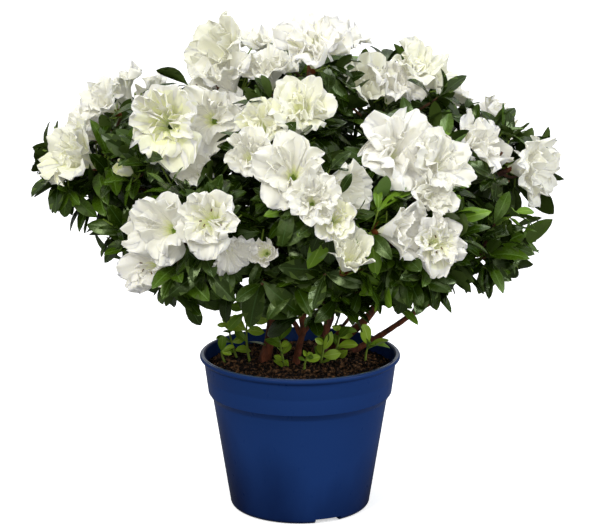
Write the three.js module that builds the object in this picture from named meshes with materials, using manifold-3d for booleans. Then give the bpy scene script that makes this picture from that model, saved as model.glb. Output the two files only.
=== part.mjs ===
// A florist's azalea in bloom, growing in a round plastic pot.
// Millimetres, +Z up. The origin is the centre of the pot's flat underside.
// The plant is built the way it grows: stems rise from the root ball, boughs leave the stems,
// and each bough ends in one mass of twigs, leaves and blooms that keeps to its own space.

import * as THREE from "three";
import { mergeVertices } from "three/addons/utils/BufferGeometryUtils.js";
import Module from "manifold-3d";

const wasm = await Module();
wasm.setup();

// ---------------------------------------------------------------- driving dimensions

const GAP = 0.3; // clearance between pieces that touch
const LIMB_GAP = 0.4; // and between a bough and the stem that it leaves

const POT = {
  height: 110,
  rimRadius: 70, // outside of the rolled bead
  beadDrop: 4, // height of the bead
  beadSlope: 1.5, // height of the slope under the bead
  beadEdge: 1, // bevel on top of the bead
  beadStep: 2.2, // how far the bead stands out from the collar
  collarFoot: 83, // height where the collar ends
  collarFootRadius: 64.2,
  stepFoot: 79, // the collar's underside slopes down to here
  bodyTopRadius: 61.2,
  bodyFootRadius: 48.6,
  corner: 4, // how high the rounded corner of the foot reaches
  cornerBevel: 1.2,
  wall: 1.5,
  floor: 4.8,
  sides: 30,
};

const NOTCH = { count: 3, first: 24, width: 19, depth: 9, height: 3.4 }; // drainage notches round the foot
const DRAIN = { width: 6, reach: 7 }; // the hole above each notch

const SOIL = { belowRim: 10, flatRadius: 46, edgeDrop: 2.5 };
const GROUND = POT.height - SOIL.belowRim; // top of the root ball, where the stems are cut

// The crown is a broad dome. No leaf or twig leaves this egg, or comes closer to the ground than
// skirt.
const CROWN = {
  centre: new THREE.Vector3(-1, 0, 236),
  reach: new THREE.Vector3(187, 168, 121),
  skirt: 14,
};
const HEART = new THREE.Vector3(0, 8, 165); // the boughs spread from about here

const LEAF = {
  length: 44,
  variation: [0.9, 1.1], // shares of the length, by chance
  sizes: [1, 0.8, 0.62, 0.45], // and then as large as fits, tried in turn
  stub: 0.15, // what is left of a leaf that has no room
  slimness: 0.42, // width for length
  widest: 0.56, // how far along it is widest
  arch: 0.08,
  clear: 2.5, // between a leaf and its neighbours
  tilts: [46, 80], // degrees out from the shoot
};
const EDGE = 0.6; // what each mass keeps back from the edge of its space
const HUB = 0.5; // how far in from a mass's middle its bough ends, as a share of its reach
const STEM_TOP = 0.3; // how far out the stem of a mass goes on
const STEM_BOW = 2; // how far that stem bows out halfway
const TWIG_SIDES = 3;
const STEM_SIDES_IN_MASS = 4;
const WHORL = { leaves: 5, jitter: 0.2, cleft: 2.4, cleftDrop: 1, depth: 5, bud: 1.5, radius: 0.5 };
const DROOP = new THREE.Vector3(0, 0, -0.12); // leaves hang a little
const TO_THE_FRONT = new THREE.Vector3(0, -0.35, 0.1); // blooms lean to the light in front
const TWIG = {
  radius: 1.25,
  stemTop: 2, // radius where the stem of a mass ends
  lowest: 0.6, // the first twig leaves the stem this far along its share
  room: 2, // inside the mass's space
  tried: [0.3, 0.5, 0.7, 0.85, 1], // shares of its length where a way is looked for
  taken: [0.2, 0.3, 0.4, 0.5, 0.6, 0.7, 0.8, 0.9], // and where leaves keep clear of it
};
const BOUGH = {
  root: 2.9,
  tip: 2.3,
  ofStem: 0.8, // thinner than its stem
  withStem: 0.9, // how closely it leaves along the stem
  leave: 0.35, // shares of its span where it curves
  enter: 0.3,
  sides: 5,
  segments: 4,
};
const STEM = { sides: 7, segments: 5, flareHeight: 5 };
// Leafy shoots are set round a mass at an even turn.
const SHOOTS = {
  turn: THREE.MathUtils.degToRad(137.5),
  jitter: 0.4,
  tried: 1.4, // directions for each shoot
  backmost: -0.4, // none points further back than this
  shortest: 0.35, // share of the way to the edge
  leafRoom: [0.45, 0.8], // leaf lengths left free beyond a shoot
};
// Blooms that are not placed one by one.
const WREATH = {
  jitter: 0.5,
  tilts: [38, 46], // degrees out from the middle of the mass
  spreads: [0.85, 1.05],
  opens: [0.6, 0.95],
  sunk: 0.25, // share of its radius that a bloom keeps from the edge
};
const SEEDS = { mass: 7919, massStep: 31, basal: 101 };

// ---------------------------------------------------------------- colours

const finish = (colour, roughness) =>
  new THREE.MeshStandardMaterial({ color: colour, roughness, metalness: 0 });
const POT_BLUE = finish(0x16295f, 0.35);
const PEAT = finish(0x2a1812, 0.95);
const BARK = finish(0x6b3a2c, 0.8);
const YOUNG_LEAF = finish(0x6f9a2c, 0.5);
const DARK_LEAF = finish(0x1f3518, 0.4);
const PETAL_WHITE = finish(0xf1f1ec, 0.6);

// ---------------------------------------------------------------- the plan of the plant

// Stems rise from the root ball: [x, y, z] along the middle, then the radius at foot and tip.
// flare is how much wider the root collar is.
const STEMS = {
  main: {
    path: [[-25, 12, GROUND], [-21, 8, 118], [-19, 4, 142], [-16, 4, 168], [-11, 10, 200]],
    foot: 4.2, tip: 2.9, flare: 3.2,
  },
  front: {
    path: [[-3, 2, GROUND], [-1, -4, 114], [2, -12, 129], [0, -24, 146]],
    foot: 3.1, tip: 2.3, flare: 1.6,
  },
  right: {
    path: [[19, 22, GROUND], [24, 20, 107], [32, 14, 117], [44, 6, 130], [54, 0, 144], [66, -4, 155]],
    foot: 3.6, tip: 2.6, flare: 1.8,
  },
  back: {
    path: [[11, 33, GROUND], [20, 34, 122], [26, 37, 150], [28, 38, 178]],
    foot: 3.2, tip: 2.4, flare: 1.6,
  },
  low_right: {
    path: [[34, 30, GROUND], [56, 24, 115], [74, 12, 131], [90, 4, 144], [104, 0, 155]],
    foot: 2.2, tip: 1.6, flare: 0.9,
  },
};

// Masses of foliage. site is the middle of the mass's own space and reach its radius. from says
// which stem the bough leaves, and how far along it. shoots is the number of leafy shoots.
// Each bloom: [across, deep, up] from the site, then its spread and how far it has opened.
// A wreath is a number of blooms set evenly on the outer side, and their spread.
const MASSES = {
  low_left: {
    site: [-72, -84, 206], reach: 60, from: ["front", 0.99], shoots: 7,
    blooms: [
      [-19, -26, 22, 54, 0.95], [14, -40, 29, 50, 0.85], [-26, -10, -12, 34, 0.8], [44, -22, 6, 20, 0.3],
    ],
  },
  left_shoulder: {
    site: [-90, -42, 258], reach: 50, from: ["main", 0.62], shoots: 6,
    blooms: [[0, -16, 21, 62, 0.85], [-25, -18, -2, 13, 0.05], [22, -26, 2, 32, 0.7]],
  },
  far_left: {
    site: [-142, -6, 244], reach: 56, from: ["main", 0.7], shoots: 8,
    blooms: [[10, 20, 44, 40, 0.75], [-4, 0, 34, 38, 0.7], [-10, -24, 12, 42, 0.6]],
  },
  top_left: {
    site: [-54, 18, 290], reach: 52, from: ["main", 0.9], shoots: 5,
    blooms: [[2, 20, 35, 52, 0.6], [4, -4, 19, 42, 0.8], [1, -31, -1, 42, 0.8]],
  },
  top: {
    site: [6, 10, 303], reach: 50, from: ["main", 0.995], shoots: 5,
    blooms: [[6, -30, 30, 64, 0.9], [-26, 21, 11, 42, 0.75]],
  },
  upper_front: {
    site: [-12, -58, 272], reach: 46, from: ["main", 0.8], shoots: 5,
    blooms: [[-17, -13, 19, 32, 0.55], [14, -8, 23, 42, 0.75], [-22, -32, 0, 30, 0.4]],
  },
  front: {
    site: [10, -104, 236], reach: 48, from: ["front", 0.8], shoots: 6,
    blooms: [[-18, -14, 30, 54, 0.9], [-3, -24, 10, 34, 0.6], [18, -4, 17, 38, 0.35], [16, -26, 0, 30, 0.65]],
  },
  top_right: {
    site: [66, 22, 288], reach: 50, from: ["back", 0.97], shoots: 5,
    blooms: [[-26, -8, 14, 38, 0.4], [-2, -18, 14, 48, 0.85], [24, -4, 22, 48, 0.8]],
  },
  right_shoulder: {
    site: [72, -68, 256], reach: 50, from: ["right", 0.72], shoots: 6,
    blooms: [[-14, -18, 15, 60, 0.95], [17, -25, 2, 42, 0.7]],
  },
  far_right: {
    site: [140, -2, 238], reach: 56, from: ["right", 0.9], shoots: 8,
    blooms: [[-14, -14, 32, 42, 0.6], [25, 2, 4, 52, 0.8]],
  },
  low_right: {
    site: [74, -92, 206], reach: 56, from: ["right", 0.99], shoots: 7,
    blooms: [[-9, -24, 20, 38, 0.5], [20, -22, 14, 44, 0.8], [-40, -34, 8, 32, 0.4]],
  },
  right_skirt: { site: [128, -34, 188], reach: 60, from: ["low_right", 0.995], shoots: 9 },
  front_skirt: { site: [6, -78, 170], reach: 58, from: ["front", 0.6], shoots: 8 },
  left_skirt: { site: [-98, -32, 200], reach: 52, from: ["main", 0.5], shoots: 8 },
  back_left: { site: [-104, 70, 232], reach: 60, from: ["main", 0.76], shoots: 6, wreath: [4, 50] },
  back: { site: [-4, 104, 240], reach: 60, from: ["back", 0.8], shoots: 6, wreath: [4, 52] },
  back_right: { site: [96, 78, 228], reach: 60, from: ["back", 0.62], shoots: 6, wreath: [4, 50] },
  back_top: { site: [4, 66, 288], reach: 46, from: ["main", 0.85], shoots: 4, wreath: [3, 44] },
  back_skirt_left: { site: [-66, 82, 174], reach: 56, from: ["main", 0.4], shoots: 7, wreath: [1, 42] },
  back_skirt_right: { site: [64, 88, 174], reach: 56, from: ["back", 0.4], shoots: 7, wreath: [1, 42] },
};

// Young shoots from the foot of the plant, with small bright leaves.
const BASAL_SHOOTS = {
  basal_shoot_left: { foot: [-44, 18], lean: [-8, -6], height: 30, whorls: 2, leaf: 21 },
  basal_shoot_front: { foot: [-8, -19], lean: [-5, -2], height: 27, whorls: 2, leaf: 17 },
  basal_shoot_middle: { foot: [13, -8], lean: [4, 0], height: 26, whorls: 2, leaf: 14 },
  basal_shoot_right: { foot: [44, 4], lean: [3, -4], height: 24, whorls: 1, leaf: 17 },
};
const BASAL = { foot: 1.5, tip: 1, between: 0.45, tilts: [48, 66] };

// ---------------------------------------------------------------- solids

// A closed mesh as a manifold-3d solid.
function solidOf(geometry) {
  const bare = new THREE.BufferGeometry();
  bare.setAttribute("position", geometry.getAttribute("position"));
  if (geometry.index) bare.setIndex(geometry.index);
  const merged = mergeVertices(bare, 1e-4);
  const mesh = new wasm.Mesh({
    numProp: 3,
    vertProperties: merged.getAttribute("position").array,
    triVerts: new Uint32Array(merged.index.array),
  });
  return new wasm.Manifold(mesh);
}

// A manifold-3d solid as a three.js geometry.
function geometryOf(solid) {
  const mesh = solid.getMesh();
  const geometry = new THREE.BufferGeometry();
  geometry.setAttribute("position", new THREE.BufferAttribute(new Float32Array(mesh.vertProperties), 3));
  geometry.setIndex(new THREE.BufferAttribute(new Uint32Array(mesh.triVerts), 1));
  geometry.computeVertexNormals();
  return geometry;
}

const join = (solids) => solids.reduce((all, one) => all.add(one));

// The largest of the separate bodies in a solid.
function largestBody(solid) {
  return solid.decompose().reduce((best, one) => (one.volume() > best.volume() ? one : best));
}

// A closed solid through rings of points that all turn the same way. Neighbouring rings are
// stitched by their share of a turn, so that they need not have equal counts, and a ring may be
// a single point.
function loft(rings) {
  const vertices = [];
  const faces = [];
  const starts = rings.map((ring) => {
    const start = vertices.length / 3;
    ring.forEach((p) => vertices.push(p.x, p.y, p.z));
    return start;
  });
  rings.slice(1).forEach((upper, n) => {
    const lower = rings[n];
    // A single point takes no steps of its own.
    const lowerSteps = lower.length > 1 ? lower.length : 0;
    const upperSteps = upper.length > 1 ? upper.length : 0;
    let [i, j] = [0, 0];
    while (i < lowerSteps || j < upperSteps) {
      const a = starts[n] + (i % lower.length);
      const b = starts[n + 1] + (j % upper.length);
      const lowerIsNext = (i + 1) / lower.length <= (j + 1) / upper.length;
      if (j === upperSteps || (i < lowerSteps && lowerIsNext)) {
        i += 1;
        faces.push(a, starts[n] + (i % lower.length), b);
      } else {
        j += 1;
        faces.push(a, starts[n + 1] + (j % upper.length), b);
      }
    }
  });
  const [first, last] = [starts[0], starts.at(-1)];
  for (let k = 1; k < rings[0].length - 1; k++) faces.push(first, first + k + 1, first + k);
  for (let k = 1; k < rings.at(-1).length - 1; k++) faces.push(last, last + k, last + k + 1);
  const geometry = new THREE.BufferGeometry();
  geometry.setAttribute("position", new THREE.Float32BufferAttribute(vertices, 3));
  geometry.setIndex(faces);
  const solid = solidOf(geometry);
  return solid.volume() < 0 ? loft([...rings].reverse()) : solid;
}

// Two unit vectors square to a direction. The second one follows a guide, or lies level.
function across(direction, guide) {
  const steep = Math.abs(direction.z) > 0.95;
  const upright = steep ? new THREE.Vector3(0, 1, 0) : new THREE.Vector3(0, 0, 1);
  const level = guide ? guide.clone() : new THREE.Vector3().crossVectors(direction, upright);
  level.addScaledVector(direction, -level.dot(direction)).normalize();
  return [new THREE.Vector3().crossVectors(level, direction).normalize(), level];
}

// A ring of points round a centre, square to a direction.
function ringAt(centre, direction, radius, sides, guide) {
  const [up, level] = across(direction, guide);
  return Array.from({ length: sides }, (_, k) => {
    const angle = (2 * Math.PI * k) / sides;
    return centre
      .clone()
      .addScaledVector(level, radius * Math.cos(angle))
      .addScaledVector(up, -radius * Math.sin(angle));
  });
}

// The rings of a tapering limb along a list of stations, each a point and a radius. Every ring
// takes its guide from the one before, so that the limb isn't twisted.
function limbRings(stations, sides, guide) {
  let level = guide;
  return stations.map((station, i) => {
    const before = stations[Math.max(i - 1, 0)].point;
    const after = stations[Math.min(i + 1, stations.length - 1)].point;
    const direction = station.heading ?? after.clone().sub(before).normalize();
    level = across(direction, level)[1];
    return ringAt(station.point, direction, station.radius, sides, level);
  });
}

const limbSolid = (stations, sides) => loft(limbRings(stations, sides));

// ---------------------------------------------------------------- seeded chance

// Random numbers from 0 to 1 that are the same on every run.
function seeded(seed) {
  let state = seed >>> 0;
  return () => {
    state = (state + 0x6d2b79f5) >>> 0;
    let mixed = Math.imul(state ^ (state >>> 15), state | 1);
    mixed ^= mixed + Math.imul(mixed ^ (mixed >>> 7), mixed | 61);
    return ((mixed ^ (mixed >>> 14)) >>> 0) / 4294967296;
  };
}

// ---------------------------------------------------------------- pot and root ball

const COLLAR_TOP_RADIUS = POT.rimRadius - POT.beadStep;
const bodyRadiusAt = (z) =>
  THREE.MathUtils.mapLinear(z, 0, POT.stepFoot, POT.bodyFootRadius, POT.bodyTopRadius);
const collarRadiusAt = (z) =>
  THREE.MathUtils.mapLinear(z, POT.collarFoot, POT.height, POT.collarFootRadius, COLLAR_TOP_RADIUS);

// A profile of [radius, height] pairs turned round the Z axis.
function turned(profile, sides) {
  const points = profile.map(([radius, height]) => new THREE.Vector2(radius, height));
  const geometry = new THREE.LatheGeometry(points, sides).rotateX(Math.PI / 2);
  return solidOf(geometry);
}

function potSolid() {
  const { height, wall, floor, corner, cornerBevel, stepFoot, collarFoot, sides } = POT;
  const { rimRadius, beadEdge } = POT;
  const beadFoot = height - POT.beadDrop;
  const slopeFoot = beadFoot - POT.beadSlope;
  const outside = [
    [0, 0],
    [POT.bodyFootRadius - corner, 0],
    [bodyRadiusAt(cornerBevel) - cornerBevel, cornerBevel],
    [bodyRadiusAt(corner), corner],
    [bodyRadiusAt(stepFoot), stepFoot],
    [POT.collarFootRadius, collarFoot],
    [collarRadiusAt(slopeFoot), slopeFoot],
    [rimRadius, beadFoot],
    [rimRadius, height - beadEdge],
    [rimRadius - beadEdge, height],
  ];
  const inside = [
    [COLLAR_TOP_RADIUS - wall, height],
    [collarRadiusAt(collarFoot) - wall, collarFoot - wall],
    [bodyRadiusAt(stepFoot) - wall, stepFoot - wall],
    [bodyRadiusAt(floor) - wall, floor],
    [0, floor],
  ];
  let pot = turned([...outside, ...inside], sides);
  for (let k = 0; k < NOTCH.count; k++) {
    const turn = THREE.MathUtils.degToRad(NOTCH.first - 90 + (360 * k) / NOTCH.count);
    const notch = new THREE.BoxGeometry(2 * NOTCH.depth, NOTCH.width, 2 * NOTCH.height);
    notch.translate(POT.bodyFootRadius, 0, 0).rotateZ(turn);
    const drain = new THREE.BoxGeometry(DRAIN.width, DRAIN.width, 4 * floor);
    drain.translate(POT.bodyFootRadius - DRAIN.reach, 0, 0).rotateZ(turn);
    pot = pot.subtract(solidOf(notch)).subtract(solidOf(drain));
  }
  return pot;
}

function rootBallSolid() {
  const inset = POT.wall + GAP;
  const edge = GROUND - SOIL.edgeDrop;
  return turned(
    [
      [0, POT.floor + GAP],
      [bodyRadiusAt(POT.floor + GAP) - inset, POT.floor + GAP],
      [bodyRadiusAt(POT.stepFoot) - inset, POT.stepFoot - POT.wall],
      [collarRadiusAt(POT.collarFoot) - inset, POT.collarFoot - POT.wall],
      [collarRadiusAt(edge) - inset, edge],
      [SOIL.flatRadius, GROUND],
      [0, GROUND],
    ],
    POT.sides,
  );
}

// ---------------------------------------------------------------- stems and boughs

const vector = (xyz) => new THREE.Vector3(...xyz);

// Stations along a stem. The root collar flares out towards the flat cut at ground level.
function stemStations(stem) {
  const curve = new THREE.CatmullRomCurve3(stem.path.map(vector));
  return Array.from({ length: STEM.segments + 1 }, (_, i) => {
    const along = i / STEM.segments;
    const point = curve.getPointAt(along);
    if (i === 0) point.z += GAP;
    const flare = stem.flare * Math.exp(-(point.z - GROUND) / STEM.flareHeight);
    const radius = THREE.MathUtils.lerp(stem.foot, stem.tip, along) + flare;
    return { point, radius, heading: i === 0 ? new THREE.Vector3(0, 0, 1) : undefined };
  });
}

// A bough leaves its stem, bends out and ends where it enters its mass.
function boughStations(mass) {
  const [stemName, along] = mass.from;
  const stem = STEMS[stemName];
  const curve = new THREE.CatmullRomCurve3(stem.path.map(vector));
  const start = curve.getPointAt(along);
  const end = mass.hub;
  const span = start.distanceTo(end);
  const straight = end.clone().sub(start).normalize();
  const leave = curve.getTangentAt(along).multiplyScalar(BOUGH.withStem).add(straight).normalize();
  const enter = mass.outward.clone().add(straight).normalize();
  const bend = new THREE.CubicBezierCurve3(
    start,
    start.clone().addScaledVector(leave, span * BOUGH.leave),
    end.clone().addScaledVector(enter, -span * BOUGH.enter),
    end,
  );
  const stemRadius = THREE.MathUtils.lerp(stem.foot, stem.tip, along);
  const thick = Math.min(stemRadius * BOUGH.ofStem, BOUGH.root);
  return Array.from({ length: BOUGH.segments + 1 }, (_, i) => ({
    point: bend.getPointAt(i / BOUGH.segments),
    radius: THREE.MathUtils.lerp(thick, BOUGH.tip, i / BOUGH.segments),
  }));
}

// The same limb a little wider and longer, to cut its neighbours clear of it.
function widened(stations) {
  const grown = stations.map((s) => ({ ...s, radius: s.radius + LIMB_GAP }));
  const last = grown.at(-1);
  const onward = last.point.clone().sub(grown.at(-2).point).normalize();
  grown[grown.length - 1] = { ...last, point: last.point.clone().addScaledVector(onward, LIMB_GAP) };
  return grown;
}

// ---------------------------------------------------------------- the space of each mass

const masses = Object.entries(MASSES).map(([name, plan], index) => {
  const centre = vector(plan.site);
  const outward = centre.clone().sub(HEART).normalize();
  const hub = centre.clone().addScaledVector(outward, -HUB * plan.reach);
  return { ...plan, name, index, centre, outward, hub, blooms: plan.blooms ?? [] };
});

// How far a point is inside a mass's own space, in mm: less than 0 is outside.
function roomInside(mass, point) {
  const [x, y, z] = point.clone().sub(CROWN.centre).divide(CROWN.reach).toArray();
  const egg = (1 - Math.hypot(x, y, z)) * CROWN.reach.z;
  const aboveSkirt = point.z - GROUND - CROWN.skirt;
  let room = Math.min(egg, mass.reach - point.distanceTo(mass.centre), aboveSkirt);
  for (const other of masses) {
    if (other === mass) continue;
    const between = other.centre.distanceTo(mass.centre);
    const mine = point.distanceToSquared(mass.centre) - mass.reach ** 2;
    const theirs = point.distanceToSquared(other.centre) - other.reach ** 2;
    room = Math.min(room, (theirs - mine) / (2 * between));
  }
  return room;
}

// ---------------------------------------------------------------- growth

const limbs = []; // every stem and bough: { name, stations, sides }

// How far a point is from the nearest limb's bark.
function clearOfLimbs(point) {
  const segment = new THREE.Line3();
  const nearest = new THREE.Vector3();
  let clear = Infinity;
  for (const limb of limbs) {
    limb.stations.slice(1).forEach((to, i) => {
      segment.set(limb.stations[i].point, to.point).closestPointToPoint(point, true, nearest);
      const radius = Math.max(limb.stations[i].radius, to.radius);
      clear = Math.min(clear, nearest.distanceTo(point) - radius);
    });
  }
  return clear;
}

// The outline of a leaf: its two widest points and its tip. Its upper side is arched.
function leafOutline(foot, direction, length) {
  const [up, level] = across(direction);
  const widest = foot
    .clone()
    .addScaledVector(direction, LEAF.widest * length)
    .addScaledVector(up, LEAF.arch * length);
  const half = LEAF.slimness * length * 0.5;
  return {
    sides: [widest.clone().addScaledVector(level, half), widest.clone().addScaledVector(level, -half)],
    tip: foot.clone().addScaledVector(direction, length),
  };
}

// Where a leaf is tried for room: along its edges and its midrib.
const edgePoints = (foot, { sides: [left, right], tip }) => [
  left,
  right,
  tip,
  foot.clone().lerp(left, 0.6),
  foot.clone().lerp(right, 0.6),
  left.clone().lerp(tip, 0.5),
  right.clone().lerp(tip, 0.5),
  left.clone().lerp(right, 0.5),
  foot.clone().lerp(tip, 0.3),
  foot.clone().lerp(tip, 0.8),
];

// A whorl of leaves round a shoot. Each leaf takes the largest size that fits.
function whorlOf(foot, heading, length, tilts, fits, chance) {
  const [up, level] = across(heading);
  const start = chance();
  return Array.from({ length: WHORL.leaves }, (_, k) => {
    const turn = (2 * Math.PI * (k + start + WHORL.jitter * (chance() - 0.5))) / WHORL.leaves;
    const tilt = THREE.MathUtils.degToRad(THREE.MathUtils.lerp(...tilts, chance()));
    const radial = level.clone().multiplyScalar(Math.cos(turn)).addScaledVector(up, -Math.sin(turn));
    const direction = heading
      .clone()
      .multiplyScalar(Math.cos(tilt))
      .addScaledVector(radial, Math.sin(tilt))
      .addScaledVector(DROOP, Math.sin(tilt))
      .normalize();
    const full = length * THREE.MathUtils.lerp(...LEAF.variation, chance());
    const outlineOf = (size) => leafOutline(foot, direction, full * size);
    const leaf = outlineOf(LEAF.sizes.find((size) => fits(edgePoints(foot, outlineOf(size)))) ?? LEAF.stub);
    // The side that comes first on the way round the shoot is kept first.
    const onward = new THREE.Vector3().crossVectors(heading, radial);
    if (leaf.sides[1].clone().sub(leaf.sides[0]).dot(onward) < 0) leaf.sides.reverse();
    return { turn, ...leaf };
  });
}

// The rings of a whorl: a neck below it, the star of its leaves, and the bud in the middle.
function whorlRings(foot, heading, leaves, neckRadius) {
  const [up, level] = across(heading);
  const cleft = leaves.map(({ turn }, k) => {
    const before = k ? leaves[k - 1].turn : leaves.at(-1).turn - 2 * Math.PI;
    const between = (turn + before) / 2;
    const radial = level.clone().multiplyScalar(Math.cos(between)).addScaledVector(up, -Math.sin(between));
    const middle = foot.clone().addScaledVector(heading, -WHORL.cleftDrop);
    return { radial, point: middle.addScaledVector(radial, WHORL.cleft) };
  });
  const star = leaves.flatMap((leaf, k) => [cleft[k].point, leaf.sides[0], leaf.tip, leaf.sides[1]]);
  const neck = foot.clone().addScaledVector(heading, -WHORL.depth);
  const bud = foot.clone().addScaledVector(heading, WHORL.bud);
  const guide = cleft[0].radial;
  return { guide, rings: [ringAt(neck, heading, neckRadius, TWIG_SIDES, guide), star, [bud]] };
}

// A bloom: five ruffled petals round a full middle. From the rim to the crown of the bloom, each
// row gives the radius and height of the petal tips, then of the clefts between them, as shares
// of the bloom's radius: wide open, and in bud.
const BLOOM_ROWS = [
  { open: [1.0, 0.02, 0.8, 0.1], bud: [0.8, 0.9, 0.66, 0.8] },
  { open: [0.5, 0.06, 0.58, 0.16], bud: [0.36, 1.3, 0.36, 1.1] },
];
const BLOOM = {
  sides: 10, // five petal tips and the five clefts between them
  neck: -0.62, // where it meets its twig, as a share of its radius
  knee: 5, // its twig is straight for this far below it
  top: { open: 0.3, bud: 1.25 }, // height of the middle
  core: 0.72, // twigs and leaves keep out of a ball of this share of its radius
  coreRise: { open: 0.15, bud: 0.6 },
  drawIn: { steps: 12, share: 0.12 },
};

const bloomNeck = ({ centre, facing, radius }) => centre.clone().addScaledVector(facing, BLOOM.neck * radius);

// The rings of a bloom on its twig, from the twig's root to the middle of the bloom.
function bloomRings(mass, bloom, root) {
  const { centre, facing, radius, open, turn } = bloom;
  const [up, level] = across(facing);
  const place = (out, rise, angle) => {
    const point = centre
      .clone()
      .addScaledVector(level, out * radius * Math.cos(angle))
      .addScaledVector(up, -out * radius * Math.sin(angle))
      .addScaledVector(facing, rise * radius);
    // A petal that would leave the mass's space is drawn back towards the middle of the bloom.
    for (let step = 0; step < BLOOM.drawIn.steps && roomInside(mass, point) < EDGE; step++) {
      point.lerp(centre, BLOOM.drawIn.share);
    }
    return point;
  };
  const rows = BLOOM_ROWS.map((row) => {
    const shape = row.bud.map((inBud, i) => THREE.MathUtils.lerp(inBud, row.open[i], open));
    return Array.from({ length: BLOOM.sides }, (_, k) => {
      const [out, rise] = k % 2 ? shape.slice(2) : shape;
      return place(out, rise, (2 * Math.PI * (k + turn)) / BLOOM.sides);
    });
  });
  const neck = bloomNeck(bloom);
  const knee = neck.clone().addScaledVector(facing, -BLOOM.knee);
  const twig = [
    { point: root, radius: TWIG.radius, heading: knee.clone().sub(root).normalize() },
    { point: knee, radius: TWIG.radius },
    { point: neck, radius: TWIG.radius, heading: facing },
  ];
  const top = place(0, THREE.MathUtils.lerp(BLOOM.top.bud, BLOOM.top.open, open), 0);
  return [...limbRings(twig, TWIG_SIDES, level), ...rows, [top]];
}

// The furthest point of a mass's space along a direction from its middle.
function farthestPoint(mass, direction, keptBack) {
  const step = 2;
  let far = step;
  while (roomInside(mass, mass.centre.clone().addScaledVector(direction, far + step)) > keptBack) far += step;
  return far;
}

// The blooms of a mass: those its plan places, or an even wreath on its outer side. They face away
// from the heart of the crown and lean a little to the front.
function bloomsOf(mass, chance) {
  const blooms = mass.blooms.map(([right, back, up, spread, open]) => ({
    centre: mass.centre.clone().add(new THREE.Vector3(right, back, up)),
    radius: spread / 2,
    open,
  }));
  const [count, spread] = mass.wreath ?? [0, 0];
  const [up, level] = across(mass.outward);
  for (let k = 0; k < count; k++) {
    const angle = (2 * Math.PI * (k + WREATH.jitter * chance())) / count;
    const tilt = count > 1 ? THREE.MathUtils.degToRad(THREE.MathUtils.lerp(...WREATH.tilts, chance())) : 0;
    const direction = mass.outward
      .clone()
      .multiplyScalar(Math.cos(tilt))
      .addScaledVector(level, Math.sin(tilt) * Math.cos(angle))
      .addScaledVector(up, Math.sin(tilt) * Math.sin(angle));
    const radius = 0.5 * spread * THREE.MathUtils.lerp(...WREATH.spreads, chance());
    const far = farthestPoint(mass, direction, radius * WREATH.sunk);
    blooms.push({
      centre: mass.centre.clone().addScaledVector(direction, far),
      radius,
      open: THREE.MathUtils.lerp(...WREATH.opens, chance()),
    });
  }
  blooms.forEach((bloom) => {
    bloom.facing = bloom.centre.clone().sub(HEART).normalize().add(TO_THE_FRONT).normalize();
    bloom.turn = chance();
  });
  return blooms;
}

// Leafy shoots point evenly all round the mass, apart from back at the heart.
function shootsOf(mass, chance) {
  const shoots = [];
  const count = Math.ceil(mass.shoots * SHOOTS.tried);
  for (let k = 0; k < count && shoots.length < mass.shoots; k++) {
    const height = 1 - (2 * (k + 0.5)) / count;
    const turn = SHOOTS.turn * k + mass.index + SHOOTS.jitter * chance();
    const flat = Math.sqrt(1 - height * height);
    const direction = new THREE.Vector3(flat * Math.cos(turn), flat * Math.sin(turn), height);
    if (direction.dot(mass.outward) < SHOOTS.backmost) continue;
    const far = farthestPoint(mass, direction, EDGE);
    const leafRoom = LEAF.length * THREE.MathUtils.lerp(...SHOOTS.leafRoom, chance());
    const length = Math.max(far * SHOOTS.shortest, far - leafRoom);
    shoots.push(mass.centre.clone().addScaledVector(direction, length));
  }
  return shoots;
}

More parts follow.
